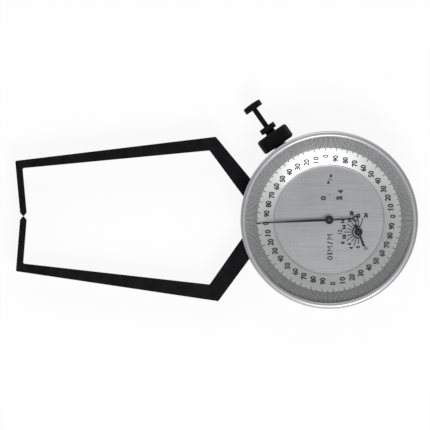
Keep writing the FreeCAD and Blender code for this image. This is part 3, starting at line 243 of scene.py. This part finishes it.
spring_steel, tree, shader = finish_of("spring_steel", (0.45, 0.46, 0.5), 1.0, 0.25)
place = place_of(tree)
tree.links.new(shades(tree, grain(tree, place, 0.6), (0.36, 0.38, 0.43), (0.5, 0.51, 0.55)),
               shader.inputs["Base Color"])
tree.links.new(spread(tree, grain(tree, place, 5.0), 0.18, 0.34), shader.inputs["Roughness"])
dress(spring_steel, "hairspring", "return_spring", "bezel_spring_ring")


# Arms: flat steel bar, milled to shape with broken edges, then chemically blackened to a dull
# satin. The lower one is screwed and dowelled to the base plate, the upper one turns.
arm_black, tree, shader = finish_of("arm_black", (0.006, 0.006, 0.007), 0.0, 0.42,
                                    Specular_IOR_Level=0.06)
place = place_of(tree)
tree.links.new(shades(tree, grain(tree, place, 0.35),
                      (0.004, 0.004, 0.005), (0.009, 0.009, 0.01)), shader.inputs["Base Color"])
tree.links.new(spread(tree, grain(tree, place, 3.0), 0.34, 0.52), shader.inputs["Roughness"])
roughen(tree, shader, grain(tree, place, 7.0, stretch=(0.2, 1.0, 1.0)), 0.006, 0.35)
dress(arm_black, "fixed_arm", "moving_arm")


# Inner dial: aluminium disc, brushed both ways to a dull silver, fixed to the case by two feet.
# Its rim is turned up a little, so it draws a thin line beside the number band. Its counter
# scale, the words for the graduation and the range are printed in black.
COUNTER = (9.5025 * MM, -3.9555 * MM)
PRINT_T = 0.02 * MM
UP_TURN = math.radians(90.0)
RIM_STEPS = ((17.46, 15.3), (17.86, 15.3), (17.86, 15.4), (17.76, 15.4))
SMOOTH_BELOW = math.radians(32.0)

dial_silver, tree, shader = finish_of("dial_silver", (0.26, 0.26, 0.265), 0.6, 0.42)
place = place_of(tree)
along = grain(tree, place, 2.4, 4.0, (0.04, 1.0, 1.0))
across = grain(tree, place, 2.4, 4.0, (1.0, 0.04, 1.0))
half = add(tree, "ShaderNodeMix", {"Factor": 0.3, "A": along, "B": across}).outputs[0]
tree.links.new(shades(tree, half, (0.225, 0.225, 0.229), (0.29, 0.29, 0.295)),
               shader.inputs["Base Color"])
tree.links.new(spread(tree, half, 0.39, 0.45), shader.inputs["Roughness"])
roughen(tree, shader, half, 0.006, 0.4)
dress(dial_silver, "dial_plate")


def polar(radius, degrees, centre=(0.0, 0.0)):
    """The point at a distance and a bearing from a centre."""
    return (centre[0] + radius * math.cos(math.radians(degrees)),
            centre[1] + radius * math.sin(math.radians(degrees)))


def closed_mesh(build, name):
    """The mesh of a closed build, with its normals outward."""
    bmesh.ops.recalc_face_normals(build, faces=build.faces)
    mesh = bpy.data.meshes.new(name)
    build.to_mesh(mesh)
    build.free()
    return mesh


def turned_ring(name, steps, material, around=180):
    """A ring turned about the dial's axis from a closed section in millimetres."""
    build = bmesh.new()
    rows = []
    for i in range(around):
        bearing = 360.0 * i / around
        rows.append([build.verts.new((*polar(r * MM, bearing), z * MM)) for r, z in steps])
    for i in range(around):
        here, there = rows[i], rows[(i + 1) % around]
        for k in range(len(steps)):
            face = build.faces.new((here[k], here[k - 1], there[k - 1], there[k]))
            face.smooth = True
    build.normal_update()
    for edge in build.edges:
        if edge.calc_face_angle() > SMOOTH_BELOW:
            edge.smooth = False
    mesh = closed_mesh(build, name)
    mesh.materials.append(material)
    return link_object(mesh, name)


dial_rim = turned_ring("dial_rim", RIM_STEPS, dial_silver)
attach(dial_rim, "root")

print_ink, tree, shader = finish_of("print_ink", (0.012, 0.012, 0.013), 0.0, 0.45,
                                    Specular_IOR_Level=0.07)
tree.links.new(shades(tree, grain(tree, place_of(tree), 4.0), (0.008, 0.008, 0.009),
                      (0.022, 0.022, 0.024)), shader.inputs["Base Color"])


def lettering(words, centre, height, width, low, bold):
    """Flat letters as a loose mesh: so high, so wide, and centred on a point."""
    curve = bpy.data.curves.new("words", "FONT")
    curve.body = words
    curve.size = 1.0
    curve.offset = bold
    curve.resolution_u = 3
    curve.extrude = 0.5
    shown = link_object(curve, "words")
    bpy.context.view_layer.update()
    graph = bpy.context.evaluated_depsgraph_get()
    mesh = bpy.data.meshes.new_from_object(shown.evaluated_get(graph))
    bpy.data.objects.remove(shown)
    bpy.data.curves.remove(curve)
    xs = [v.co.x for v in mesh.vertices]
    ys = [v.co.y for v in mesh.vertices]
    middle = Vector(((min(xs) + max(xs)) / 2, (min(ys) + max(ys)) / 2, -0.5))
    size = (width / (max(xs) - min(xs)), height / (max(ys) - min(ys)), PRINT_T)
    mesh.transform(Matrix.Translation((*centre, low)) @ Matrix.Rotation(UP_TURN, 4, "Z")
                   @ Matrix.Diagonal((*size, 1.0)) @ Matrix.Translation(-middle))
    return mesh


def gathered(meshes, name, material):
    """One object from several loose meshes, with its place in its mesh."""
    build = bmesh.new()
    for mesh in meshes:
        build.from_mesh(mesh)
        bpy.data.meshes.remove(mesh)
    for face in build.faces:
        face.material_index = 0
    whole = bpy.data.meshes.new(name)
    build.to_mesh(whole)
    build.free()
    whole.materials.clear()
    whole.materials.append(material)
    return link_object(whole, name)


# Each: the word, its x and y, its height and width in mm, and how much bolder than the font.
WORDS = (("0", 0.25, -12.35, 1.85, 1.3, 0.02), ("1", 0.25, -11.0, 1.85, 0.5, 0.02),
         ("M", 0.25, -9.37, 1.85, 1.7, 0.0), ("/", 0.25, -7.5, 1.9, 1.0, 0.03),
         ("M", 0.25, -5.5, 1.85, 1.7, 0.0), ("0", -1.88, 7.08, 1.75, 1.42, 0.05),
         ("~", 0.13, 8.1, 0.3, 0.7, 0.0), ("2", 3.25, 7.14, 2.0, 1.25, 0.1),
         ("4", 3.66, 9.2, 1.75, 1.05, 0.1), ("m", -0.27, 12.2, 0.8, 1.0, 0.09),
         ("/", 0.4, 13.1, 1.5, 0.8, 0.0), ("m", 0.55, 14.3, 0.8, 1.0, 0.09))
dial_words = gathered([lettering(word, (x * MM, y * MM), high * MM, wide * MM, DIAL_Z, bold)
                       for word, x, y, high, wide, bold in WORDS], "dial_words", print_ink)
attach(dial_words, "root")

# Counter scale: thirteen marks, 2 mm of jaw opening apart, long and short in turn, with an
# arc at their roots. Each label: its distance from the counter's axis in mm, and its bearing.
COUNT_FROM = -72.0
COUNT_STEP = -18.0
MARKS = 13
MARK_FOOT_R = 2.0 * MM
LONG_MARK_R = 4.75 * MM
SHORT_MARK_R = 3.85 * MM
MARK_WIDTH = 0.33 * MM
ARC_INNER_R = 1.6 * MM
ARC_OUTER_R = 2.08 * MM
ARC_STEPS = 60
LABEL_HEIGHT = 1.3 * MM
ONE_FIGURE = 0.8 * MM
TWO_FIGURES = 1.5 * MM
LABEL_BOLD = 0.1
LIGHT_LABELS = {0: 0.03, 6: 0.03}
LABELS = ((5.84, -66.0), (4.87, -92.4), (5.7, -114.7), (4.91, -127.7), (6.15, -145.6),
          (4.83, -162.5), (6.0, 179.0), (4.95, 160.4), (6.28, 144.7), (4.9, 126.0), (6.5, 110.0),
          (5.28, 91.0), (5.94, 66.3))
counter_numbers = gathered([
    lettering(str(2 * i), polar(radius * MM, bearing, COUNTER), LABEL_HEIGHT,
              ONE_FIGURE if i < 5 else TWO_FIGURES, DIAL_Z, LIGHT_LABELS.get(i, LABEL_BOLD))
    for i, (radius, bearing) in enumerate(LABELS)], "counter_numbers", print_ink)
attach(counter_numbers, "root")


def new_tree(name, sockets):
    """A geometry tree with named number inputs and one material input."""
    made = bpy.data.node_groups.new(name, "GeometryNodeTree")
    for label, kind in sockets:
        made.interface.new_socket(label, in_out="INPUT", socket_type=kind)
    made.interface.new_socket("Geometry", in_out="OUTPUT", socket_type="NodeSocketGeometry")
    return made, made.nodes.new("NodeGroupInput").outputs, made.nodes.new("NodeGroupOutput")


def sums(tree, operation, *values):
    """One arithmetic step."""
    return add(tree, "ShaderNodeMath", dict(enumerate(values)), operation=operation).outputs[0]


def spoke_tree():
    """Radial bars round a centre: every so many are longer, and each may lean with a cone."""
    made, given, shown = new_tree("spokes", (
        ("Count", "NodeSocketInt"), ("First", "NodeSocketFloat"), ("Step", "NodeSocketFloat"),
        ("Inner", "NodeSocketFloat"), ("Inner Fifth", "NodeSocketFloat"),
        ("Inner Tenth", "NodeSocketFloat"), ("Outer", "NodeSocketFloat"),
        ("Outer Odd", "NodeSocketFloat"), ("Width", "NodeSocketFloat"),
        ("Thickness", "NodeSocketFloat"), ("Height", "NodeSocketFloat"),
        ("Rise", "NodeSocketFloat"), ("Rise From", "NodeSocketFloat"),
        ("Material", "NodeSocketMaterial")))
    line = add(made, "GeometryNodeMeshLine", {"Count": given["Count"], "Offset": (0.0, 0.0, 0.0)})
    index = add(made, "GeometryNodeInputIndex").outputs[0]
    degrees = sums(made, "MULTIPLY_ADD", index, given["Step"], given["First"])
    bearing = sums(made, "RADIANS", degrees)
    tenth = sums(made, "LESS_THAN", sums(made, "MODULO", index, 10.0), 0.5)
    fifth = sums(made, "LESS_THAN", sums(made, "MODULO", index, 5.0), 0.5)
    odd = sums(made, "MODULO", index, 2.0)
    inner = add(made, "GeometryNodeSwitch", {"Switch": fifth, "False": given["Inner"],
                                             "True": given["Inner Fifth"]}, input_type="FLOAT")
    inner = add(made, "GeometryNodeSwitch", {"Switch": tenth, "False": inner.outputs[0],
                                             "True": given["Inner Tenth"]}, input_type="FLOAT")
    outer = add(made, "GeometryNodeSwitch", {"Switch": odd, "False": given["Outer"],
                                             "True": given["Outer Odd"]}, input_type="FLOAT")
    length = sums(made, "SUBTRACT", outer.outputs[0], inner.outputs[0])
    middle = sums(made, "MULTIPLY_ADD", length, 0.5, inner.outputs[0])
    lifted = sums(made, "MULTIPLY_ADD", sums(made, "SUBTRACT", middle, given["Rise From"]),
                  given["Rise"], given["Height"])
    spot = add(made, "ShaderNodeCombineXYZ", {
        "X": sums(made, "MULTIPLY", middle, sums(made, "COSINE", bearing)),
        "Y": sums(made, "MULTIPLY", middle, sums(made, "SINE", bearing)), "Z": lifted})
    placed = add(made, "GeometryNodeSetPosition", {"Geometry": line.outputs["Mesh"],
                                                   "Position": spot.outputs[0]})
    block = add(made, "GeometryNodeMeshCube", {"Size": (1.0, 1.0, 1.0)})
    lean = sums(made, "MULTIPLY", sums(made, "ARCTANGENT", given["Rise"]), -1.0)
    turn = add(made, "ShaderNodeCombineXYZ", {"X": 0.0, "Y": lean, "Z": bearing})
    size = add(made, "ShaderNodeCombineXYZ", {"X": length, "Y": given["Width"],
                                              "Z": given["Thickness"]})
    bars = add(made, "GeometryNodeInstanceOnPoints", {
        "Points": placed.outputs[0], "Instance": block.outputs["Mesh"],
        "Rotation": turn.outputs[0], "Scale": size.outputs[0]})
    real = add(made, "GeometryNodeRealizeInstances", {"Geometry": bars.outputs[0]})
    inked = add(made, "GeometryNodeSetMaterial", {"Geometry": real.outputs[0],
                                                  "Material": given["Material"]})
    made.links.new(inked.outputs[0], shown.inputs["Geometry"])
    return made


def grown(tree, name, values, shift=(0.0, 0.0, 0.0)):
    """The plain mesh that a geometry tree gives for these values, moved to its place."""
    seed = link_object(bpy.data.meshes.new("seed"), "seed")
    modifier = seed.modifiers.new("grow", "NODES")
    modifier.node_group = tree
    for item in tree.interface.items_tree:
        if item.in_out == "INPUT" and item.name in values:
            modifier[item.identifier] = values[item.name]
    graph = bpy.context.evaluated_depsgraph_get()
    mesh = bpy.data.meshes.new_from_object(seed.evaluated_get(graph))
    bpy.data.objects.remove(seed)
    mesh.transform(Matrix.Translation(shift))
    mesh.name = name
    return link_object(mesh, name)


spokes = spoke_tree()
counter_marks = grown(spokes, "counter_marks", {
    "Count": MARKS, "First": COUNT_FROM, "Step": COUNT_STEP, "Inner": MARK_FOOT_R,
    "Inner Fifth": MARK_FOOT_R, "Inner Tenth": MARK_FOOT_R, "Outer": LONG_MARK_R,
    "Outer Odd": SHORT_MARK_R, "Width": MARK_WIDTH, "Thickness": PRINT_T,
    "Height": DIAL_Z + PRINT_T / 2, "Rise": 0.0, "Rise From": 0.0, "Material": print_ink},
    (*COUNTER, 0.0))
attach(counter_marks, "root")


def flat_arc(name, centre, section, start, sweep, steps, material):
    """A strip with a four-cornered section, round part of a circle."""
    build = bmesh.new()
    rows = []
    for i in range(steps + 1):
        bearing = start + sweep * i / steps
        rows.append([build.verts.new((*polar(r, bearing, centre), z)) for r, z in section])
    for here, there in zip(rows, rows[1:]):
        for k in range(4):
            build.faces.new((here[k], here[(k + 1) % 4], there[(k + 1) % 4], there[k]))
    build.faces.new(rows[0])
    build.faces.new(reversed(rows[-1]))
    mesh = closed_mesh(build, name)
    mesh.materials.append(material)
    return link_object(mesh, name)


ARC_SECTION = ((ARC_INNER_R, DIAL_Z), (ARC_OUTER_R, DIAL_Z),
               (ARC_OUTER_R, DIAL_Z + PRINT_T), (ARC_INNER_R, DIAL_Z + PRINT_T))
counter_arc = flat_arc("counter_arc", COUNTER, ARC_SECTION, COUNT_FROM,
                       COUNT_STEP * (MARKS - 1), ARC_STEPS, print_ink)
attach(counter_arc, "root")


# Outer dial: an aluminium ring that turns with the bezel, dished a little towards the middle.
# Its number band is lacquered satin white; the 400 graduations are engraved and filled.
SCALE_ZERO = 183.2
GRADUATIONS = 400
LINE_FOOT_R = 23.4 * MM
FIFTH_FOOT_R = 22.9 * MM
TENTH_FOOT_R = 22.4 * MM
LINE_END_R = 27.0 * MM
LINE_WIDTH = 0.26 * MM
NUMBERS = 40
NUMBER_R = 20.4 * MM
NUMBER_HEIGHT = 1.9 * MM
TENS_WIDTH = 2.15 * MM
ZERO_WIDTH = 1.1 * MM
ZERO_FURTHER = 1.015
TENS_NEARER = 0.98
NUMBER_BOLD = 0.045
CONE_R = 18.05 * MM
CONE_Z = 15.6 * MM
CONE_RISE = math.tan(math.radians(4.0))
SCALE_STEPS = ((18.0, 14.8), (27.5, 14.8), (27.5, 16.233), (27.1, 16.233), (18.35, 15.621),
               (18.0, 15.45))

scale_white, tree, shader = finish_of("scale_white", (0.43, 0.43, 0.43), 0.7, 0.33)
place = place_of(tree)
tree.links.new(shades(tree, rings(tree, place, 2.0), (0.4, 0.4, 0.4), (0.46, 0.46, 0.46)),
               shader.inputs["Base Color"])
tree.links.new(spread(tree, rings(tree, place, 5.0), 0.3, 0.36), shader.inputs["Roughness"])
roughen(tree, shader, rings(tree, place, 8.0), 0.004, 0.3)
dress(scale_white, "scale_ring")


scale_plate = turned_ring("scale_plate", SCALE_STEPS, scale_white)
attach(scale_plate, "bezel")
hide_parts("scale_ring")

worn_ink, tree, shader = finish_of("worn_ink", (0.012, 0.012, 0.013), 0.0, 0.32,
                                   Specular_IOR_Level=0.4)
axes = add(tree, "ShaderNodeSeparateXYZ", {"Vector": place_of(tree)})
bearing = add(tree, "ShaderNodeMath", {0: axes.outputs["Y"], 1: axes.outputs["X"]},
              operation="ARCTAN2")
filling = add(tree, "ShaderNodeTexNoise", {"W": bearing.outputs[0], "Scale": 55.0, "Detail": 2.0},
              noise_dimensions="1D")
tree.links.new(shades(tree, filling.outputs["Fac"], (0.004, 0.004, 0.005), (0.07, 0.07, 0.072)),
               shader.inputs["Base Color"])

scale_lines = grown(spokes, "scale_lines", {
    "Count": GRADUATIONS, "First": SCALE_ZERO, "Step": 360.0 / GRADUATIONS,
    "Inner": LINE_FOOT_R, "Inner Fifth": FIFTH_FOOT_R, "Inner Tenth": TENTH_FOOT_R,
    "Outer": LINE_END_R, "Outer Odd": LINE_END_R, "Width": LINE_WIDTH, "Thickness": PRINT_T,
    "Height": CONE_Z + PRINT_T / 2, "Rise": CONE_RISE, "Rise From": CONE_R,
    "Material": worn_ink})
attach(scale_lines, "bezel")


def scale_number(index):
    """The number at every tenth graduation; all stand the same way up."""
    tens = index % 10
    x, y = polar(NUMBER_R, SCALE_ZERO + 360.0 / NUMBERS * index)
    if tens == 0:
        return lettering("0", (ZERO_FURTHER * x, ZERO_FURTHER * y), NUMBER_HEIGHT, ZERO_WIDTH,
                         0.0, NUMBER_BOLD)
    return lettering(str(10 * tens), (x, TENS_NEARER * y), NUMBER_HEIGHT, TENS_WIDTH,
                     0.0, NUMBER_BOLD)


numbers = [scale_number(i) for i in range(NUMBERS)]
for mesh in numbers:
    for vertex in mesh.vertices:
        out = math.hypot(vertex.co.x, vertex.co.y) - CONE_R
        vertex.co.z += CONE_Z + CONE_RISE * out
scale_numbers = gathered(numbers, "scale_numbers", print_ink)
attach(scale_numbers, "bezel")


# Hands: stamped sheet, enamelled black. The long pointer's boss and the counter hand's boss
# are bare at the centre, where the arbor's end shows.
DISC_SIDES = 48
HALF_RING_SIDES = 12


def hand_finish(name, centre, bare_r):
    """Black enamel that stops short of the arbor's end."""
    made, tree, shader = finish_of(name, (0.006, 0.006, 0.007), 0.0, 0.35, Specular_IOR_Level=0.02)
    place = place_of(tree)
    moved = add(tree, "ShaderNodeMapping", {
        "Vector": place, "Location": (-centre[0], -centre[1], 0.0), "Scale": (1.0, 1.0, 0.0)})
    radius = add(tree, "ShaderNodeVectorMath", {0: moved.outputs[0]}, operation="LENGTH")
    bare = add(tree, "ShaderNodeMapRange", {"Value": radius.outputs["Value"],
                                            "From Min": bare_r * 1.1, "From Max": bare_r * 0.9,
                                            "To Min": 0.0, "To Max": 1.0}).outputs[0]
    ramp = add(tree, "ShaderNodeValToRGB", {"Fac": bare})
    ramp.color_ramp.elements[0].color = (0.005, 0.005, 0.006, 1.0)
    ramp.color_ramp.elements[1].color = (0.04, 0.04, 0.045, 1.0)
    tree.links.new(ramp.outputs["Color"], shader.inputs["Base Color"])
    tree.links.new(spread(tree, grain(tree, place, 5.0), 0.3, 0.42), shader.inputs["Roughness"])
    return made


def plate(points, low, high):
    """A flat stamping with this outline, as a loose mesh."""
    build = bmesh.new()
    under = [build.verts.new((x, y, low)) for x, y in points]
    over = [build.verts.new((x, y, high)) for x, y in points]
    for k in range(len(points)):
        build.faces.new((under[k - 1], under[k], over[k], over[k - 1]))
    build.faces.new(under)
    build.faces.new(over)
    return closed_mesh(build, "plate")


def disc(centre, radius):
    """The outline of a round boss."""
    return [polar(radius, 360.0 * i / DISC_SIDES, centre) for i in range(DISC_SIDES)]


def blade(centre, bearing, start, end, start_width, end_width):
    """The outline of a tapering strip that points away from a centre."""
    x, y = math.cos(math.radians(bearing)), math.sin(math.radians(bearing))
    return [(centre[0] + out * x - side * y, centre[1] + out * y + side * x)
            for out, side in ((start, -start_width / 2), (end, -end_width / 2),
                              (end, end_width / 2), (start, start_width / 2))]


def half_ring(centre, inner, outer, start):
    """The outline of half of a flat ring."""
    bearings = [start + 180.0 * i / HALF_RING_SIDES for i in range(HALF_RING_SIDES + 1)]
    return ([polar(outer, b, centre) for b in bearings]
            + [polar(inner, b, centre) for b in reversed(bearings)])


CENTRE = (0.0, 0.0)
POINTER_AT = 182.6
POINTER_LOW = 16.15 * MM
POINTER_HIGH = 16.4 * MM
POINTER_REACH = 23.7 * MM
POINTER_FOOT_WIDTH = 0.85 * MM
POINTER_TIP_WIDTH = 0.24 * MM
TAIL_REACH = 7.6 * MM
TAIL_WIDTH = 0.42 * MM
RING_BORE_R = 0.62 * MM
RING_R = 1.0 * MM
RING_AT_R = 8.5 * MM
TAIL_RING = polar(RING_AT_R, POINTER_AT + 180.0)
BOSS_R = 1.38 * MM
BOSS_HIGH = 16.8 * MM
BOSS_CAP_R = 1.24 * MM
BOSS_CAP_HIGH = 16.9 * MM
BOSS_BARE_R = 0.5 * MM
long_hand = gathered([
    plate(blade(CENTRE, POINTER_AT, 0.0, POINTER_REACH, POINTER_FOOT_WIDTH, POINTER_TIP_WIDTH),
          POINTER_LOW, POINTER_HIGH),
    plate(blade(CENTRE, POINTER_AT + 180.0, 0.0, TAIL_REACH, TAIL_WIDTH, TAIL_WIDTH),
          POINTER_LOW, POINTER_HIGH),
    plate(half_ring(TAIL_RING, RING_BORE_R, RING_R, 0.0), POINTER_LOW, POINTER_HIGH),
    plate(half_ring(TAIL_RING, RING_BORE_R, RING_R, 180.0), POINTER_LOW, POINTER_HIGH),
    plate(disc(CENTRE, BOSS_R), POINTER_LOW, BOSS_HIGH),
    plate(disc(CENTRE, BOSS_CAP_R), POINTER_LOW, BOSS_CAP_HIGH)], "long_hand",
    hand_finish("pointer_enamel", CENTRE, BOSS_BARE_R))
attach(long_hand, "pointer")
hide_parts("pointer")

SHORT_AT = -67.0
SHORT_LOW = 15.55 * MM
SHORT_HIGH = 15.75 * MM
SHORT_REACH = 4.9 * MM
SHORT_FOOT_WIDTH = 0.62 * MM
SHORT_TIP_WIDTH = 0.46 * MM
SHORT_TIP_R = 0.3 * MM
SHORT_TAIL = 2.7 * MM
TAIL_FOOT_WIDTH = 0.6 * MM
TAIL_END_WIDTH = 0.9 * MM
SHORT_BOSS_R = 1.33 * MM
SHORT_BOSS_HIGH = 15.88 * MM
SHORT_CAP_R = 1.2 * MM
SHORT_CAP_HIGH = 15.95 * MM
SHORT_BARE_R = 0.38 * MM
short_hand = gathered([
    plate(blade(COUNTER, SHORT_AT, 0.0, SHORT_REACH, SHORT_FOOT_WIDTH, SHORT_TIP_WIDTH),
          SHORT_LOW, SHORT_HIGH),
    plate(disc(polar(SHORT_REACH, SHORT_AT, COUNTER), SHORT_TIP_R), SHORT_LOW, SHORT_HIGH),
    plate(blade(COUNTER, SHORT_AT + 180.0, 0.0, SHORT_TAIL, TAIL_FOOT_WIDTH, TAIL_END_WIDTH),
          SHORT_LOW, SHORT_HIGH),
    plate(disc(COUNTER, SHORT_BOSS_R), SHORT_LOW, SHORT_BOSS_HIGH),
    plate(disc(COUNTER, SHORT_CAP_R), SHORT_LOW, SHORT_CAP_HIGH)], "short_hand",
    hand_finish("counter_hand_enamel", COUNTER, SHORT_BARE_R))
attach(short_hand, "counter")
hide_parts("counter_hand")


# Bezel: a brass ring, turned, straight knurled round its grip band and satin chromed. Its
# lip holds the glass down on the seat ring.
RIDGES = 300
RIDGE_INNER_R = 28.41 * MM
RIDGE_OUTER_R = 28.84 * MM
RIDGE_WIDTH = 0.32 * MM
RIDGE_LOW = 11.4 * MM
RIDGE_HIGH = 17.2 * MM
BEZEL_STEPS = ((27.5, 11.0), (28.45, 11.0), (28.62, 11.3), (28.62, 17.3), (28.5, 17.42),
               (28.5, 17.5), (28.66, 17.64), (28.85, 17.78), (28.85, 18.1), (28.83, 18.3),
               (28.76, 18.52), (28.62, 18.72), (28.4, 18.87), (28.15, 18.96), (27.9, 19.0),
               (27.65, 18.99), (27.4, 18.94), (27.22, 18.86), (27.12, 18.75), (27.1, 18.6),
               (27.1, 18.2), (27.5, 18.2), (27.5, 13.4), (28.31, 13.4), (28.31, 12.6),
               (27.5, 12.6))

bezel_chrome, tree, shader = finish_of("bezel_chrome", (0.46, 0.46, 0.47), 1.0, 0.4)
place = place_of(tree)
tree.links.new(shades(tree, rings(tree, place, 1.2), (0.42, 0.42, 0.43), (0.51, 0.51, 0.52)),
               shader.inputs["Base Color"])
tree.links.new(spread(tree, rings(tree, place, 4.0), 0.36, 0.46), shader.inputs["Roughness"])
roughen(tree, shader, rings(tree, place, 7.0), 0.006, 0.35)
dress(bezel_chrome, "bezel", "glass_seat_ring")

bezel_ring = turned_ring("bezel_ring", BEZEL_STEPS, bezel_chrome)
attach(bezel_ring, "bezel")
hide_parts("bezel")

bezel_knurl = grown(spokes, "bezel_knurl", {
    "Count": RIDGES, "First": 0.0, "Step": 360.0 / RIDGES, "Inner": RIDGE_INNER_R,
    "Inner Fifth": RIDGE_INNER_R, "Inner Tenth": RIDGE_INNER_R, "Outer": RIDGE_OUTER_R,
    "Outer Odd": RIDGE_OUTER_R, "Width": RIDGE_WIDTH, "Thickness": RIDGE_HIGH - RIDGE_LOW,
    "Height": (RIDGE_LOW + RIDGE_HIGH) / 2, "Rise": 0.0, "Rise From": 0.0,
    "Material": bezel_chrome})
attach(bezel_knurl, "bezel")


# Glass: a flat disc of clear mineral glass, ground at its edge. The seat ring presses it up
# against the bezel's lip. Lamps shine through it, so it throws no shadow on the dial.
window, tree, shader = finish_of("window_glass", (1.0, 1.0, 1.0), 0.0, 0.0, IOR=1.45,
                                 Transmission_Weight=1.0)
lamp_rays = add(tree, "ShaderNodeLightPath").outputs["Is Shadow Ray"]
clear = add(tree, "ShaderNodeBsdfTransparent", {"Color": (0.97, 0.98, 0.98, 1.0)})
through = add(tree, "ShaderNodeMixShader", {0: lamp_rays, 1: shader.outputs[0],
                                            2: clear.outputs[0]})
tree.links.new(through.outputs[0], tree.nodes["Material Output"].inputs["Surface"])
dress(window, "glass")


# Plunger: a turned steel rod with a flat head, chemically blackened. It slides in a guide that
# is pressed into the case and has a ring nut on its end.
plunger_black, tree, shader = finish_of("plunger_black", (0.007, 0.007, 0.008), 0.0, 0.36,
                                        Specular_IOR_Level=0.05)
place = place_of(tree)
tree.links.new(spread(tree, grain(tree, place, 4.0), 0.28, 0.46), shader.inputs["Roughness"])
roughen(tree, shader, grain(tree, place, 8.0), 0.004, 0.3)
dress(plunger_black, "push_rod", "push_button", "plunger_guide", "guide_collar")


# Clamp knob: black moulded plastic, turned round with rounded rims and a fine matt skin. It
# turns on the guide's tube, between the case and the ring nut.
knob_black, tree, shader = finish_of("knob_black", (0.007, 0.007, 0.008), 0.0, 0.55,
                                     Specular_IOR_Level=0.06)
place = place_of(tree)
tree.links.new(spread(tree, grain(tree, place, 2.0), 0.42, 0.6), shader.inputs["Roughness"])
roughen(tree, shader, grain(tree, place, 5.0), 0.01, 0.4)
dress(knob_black, "clamp_knob")
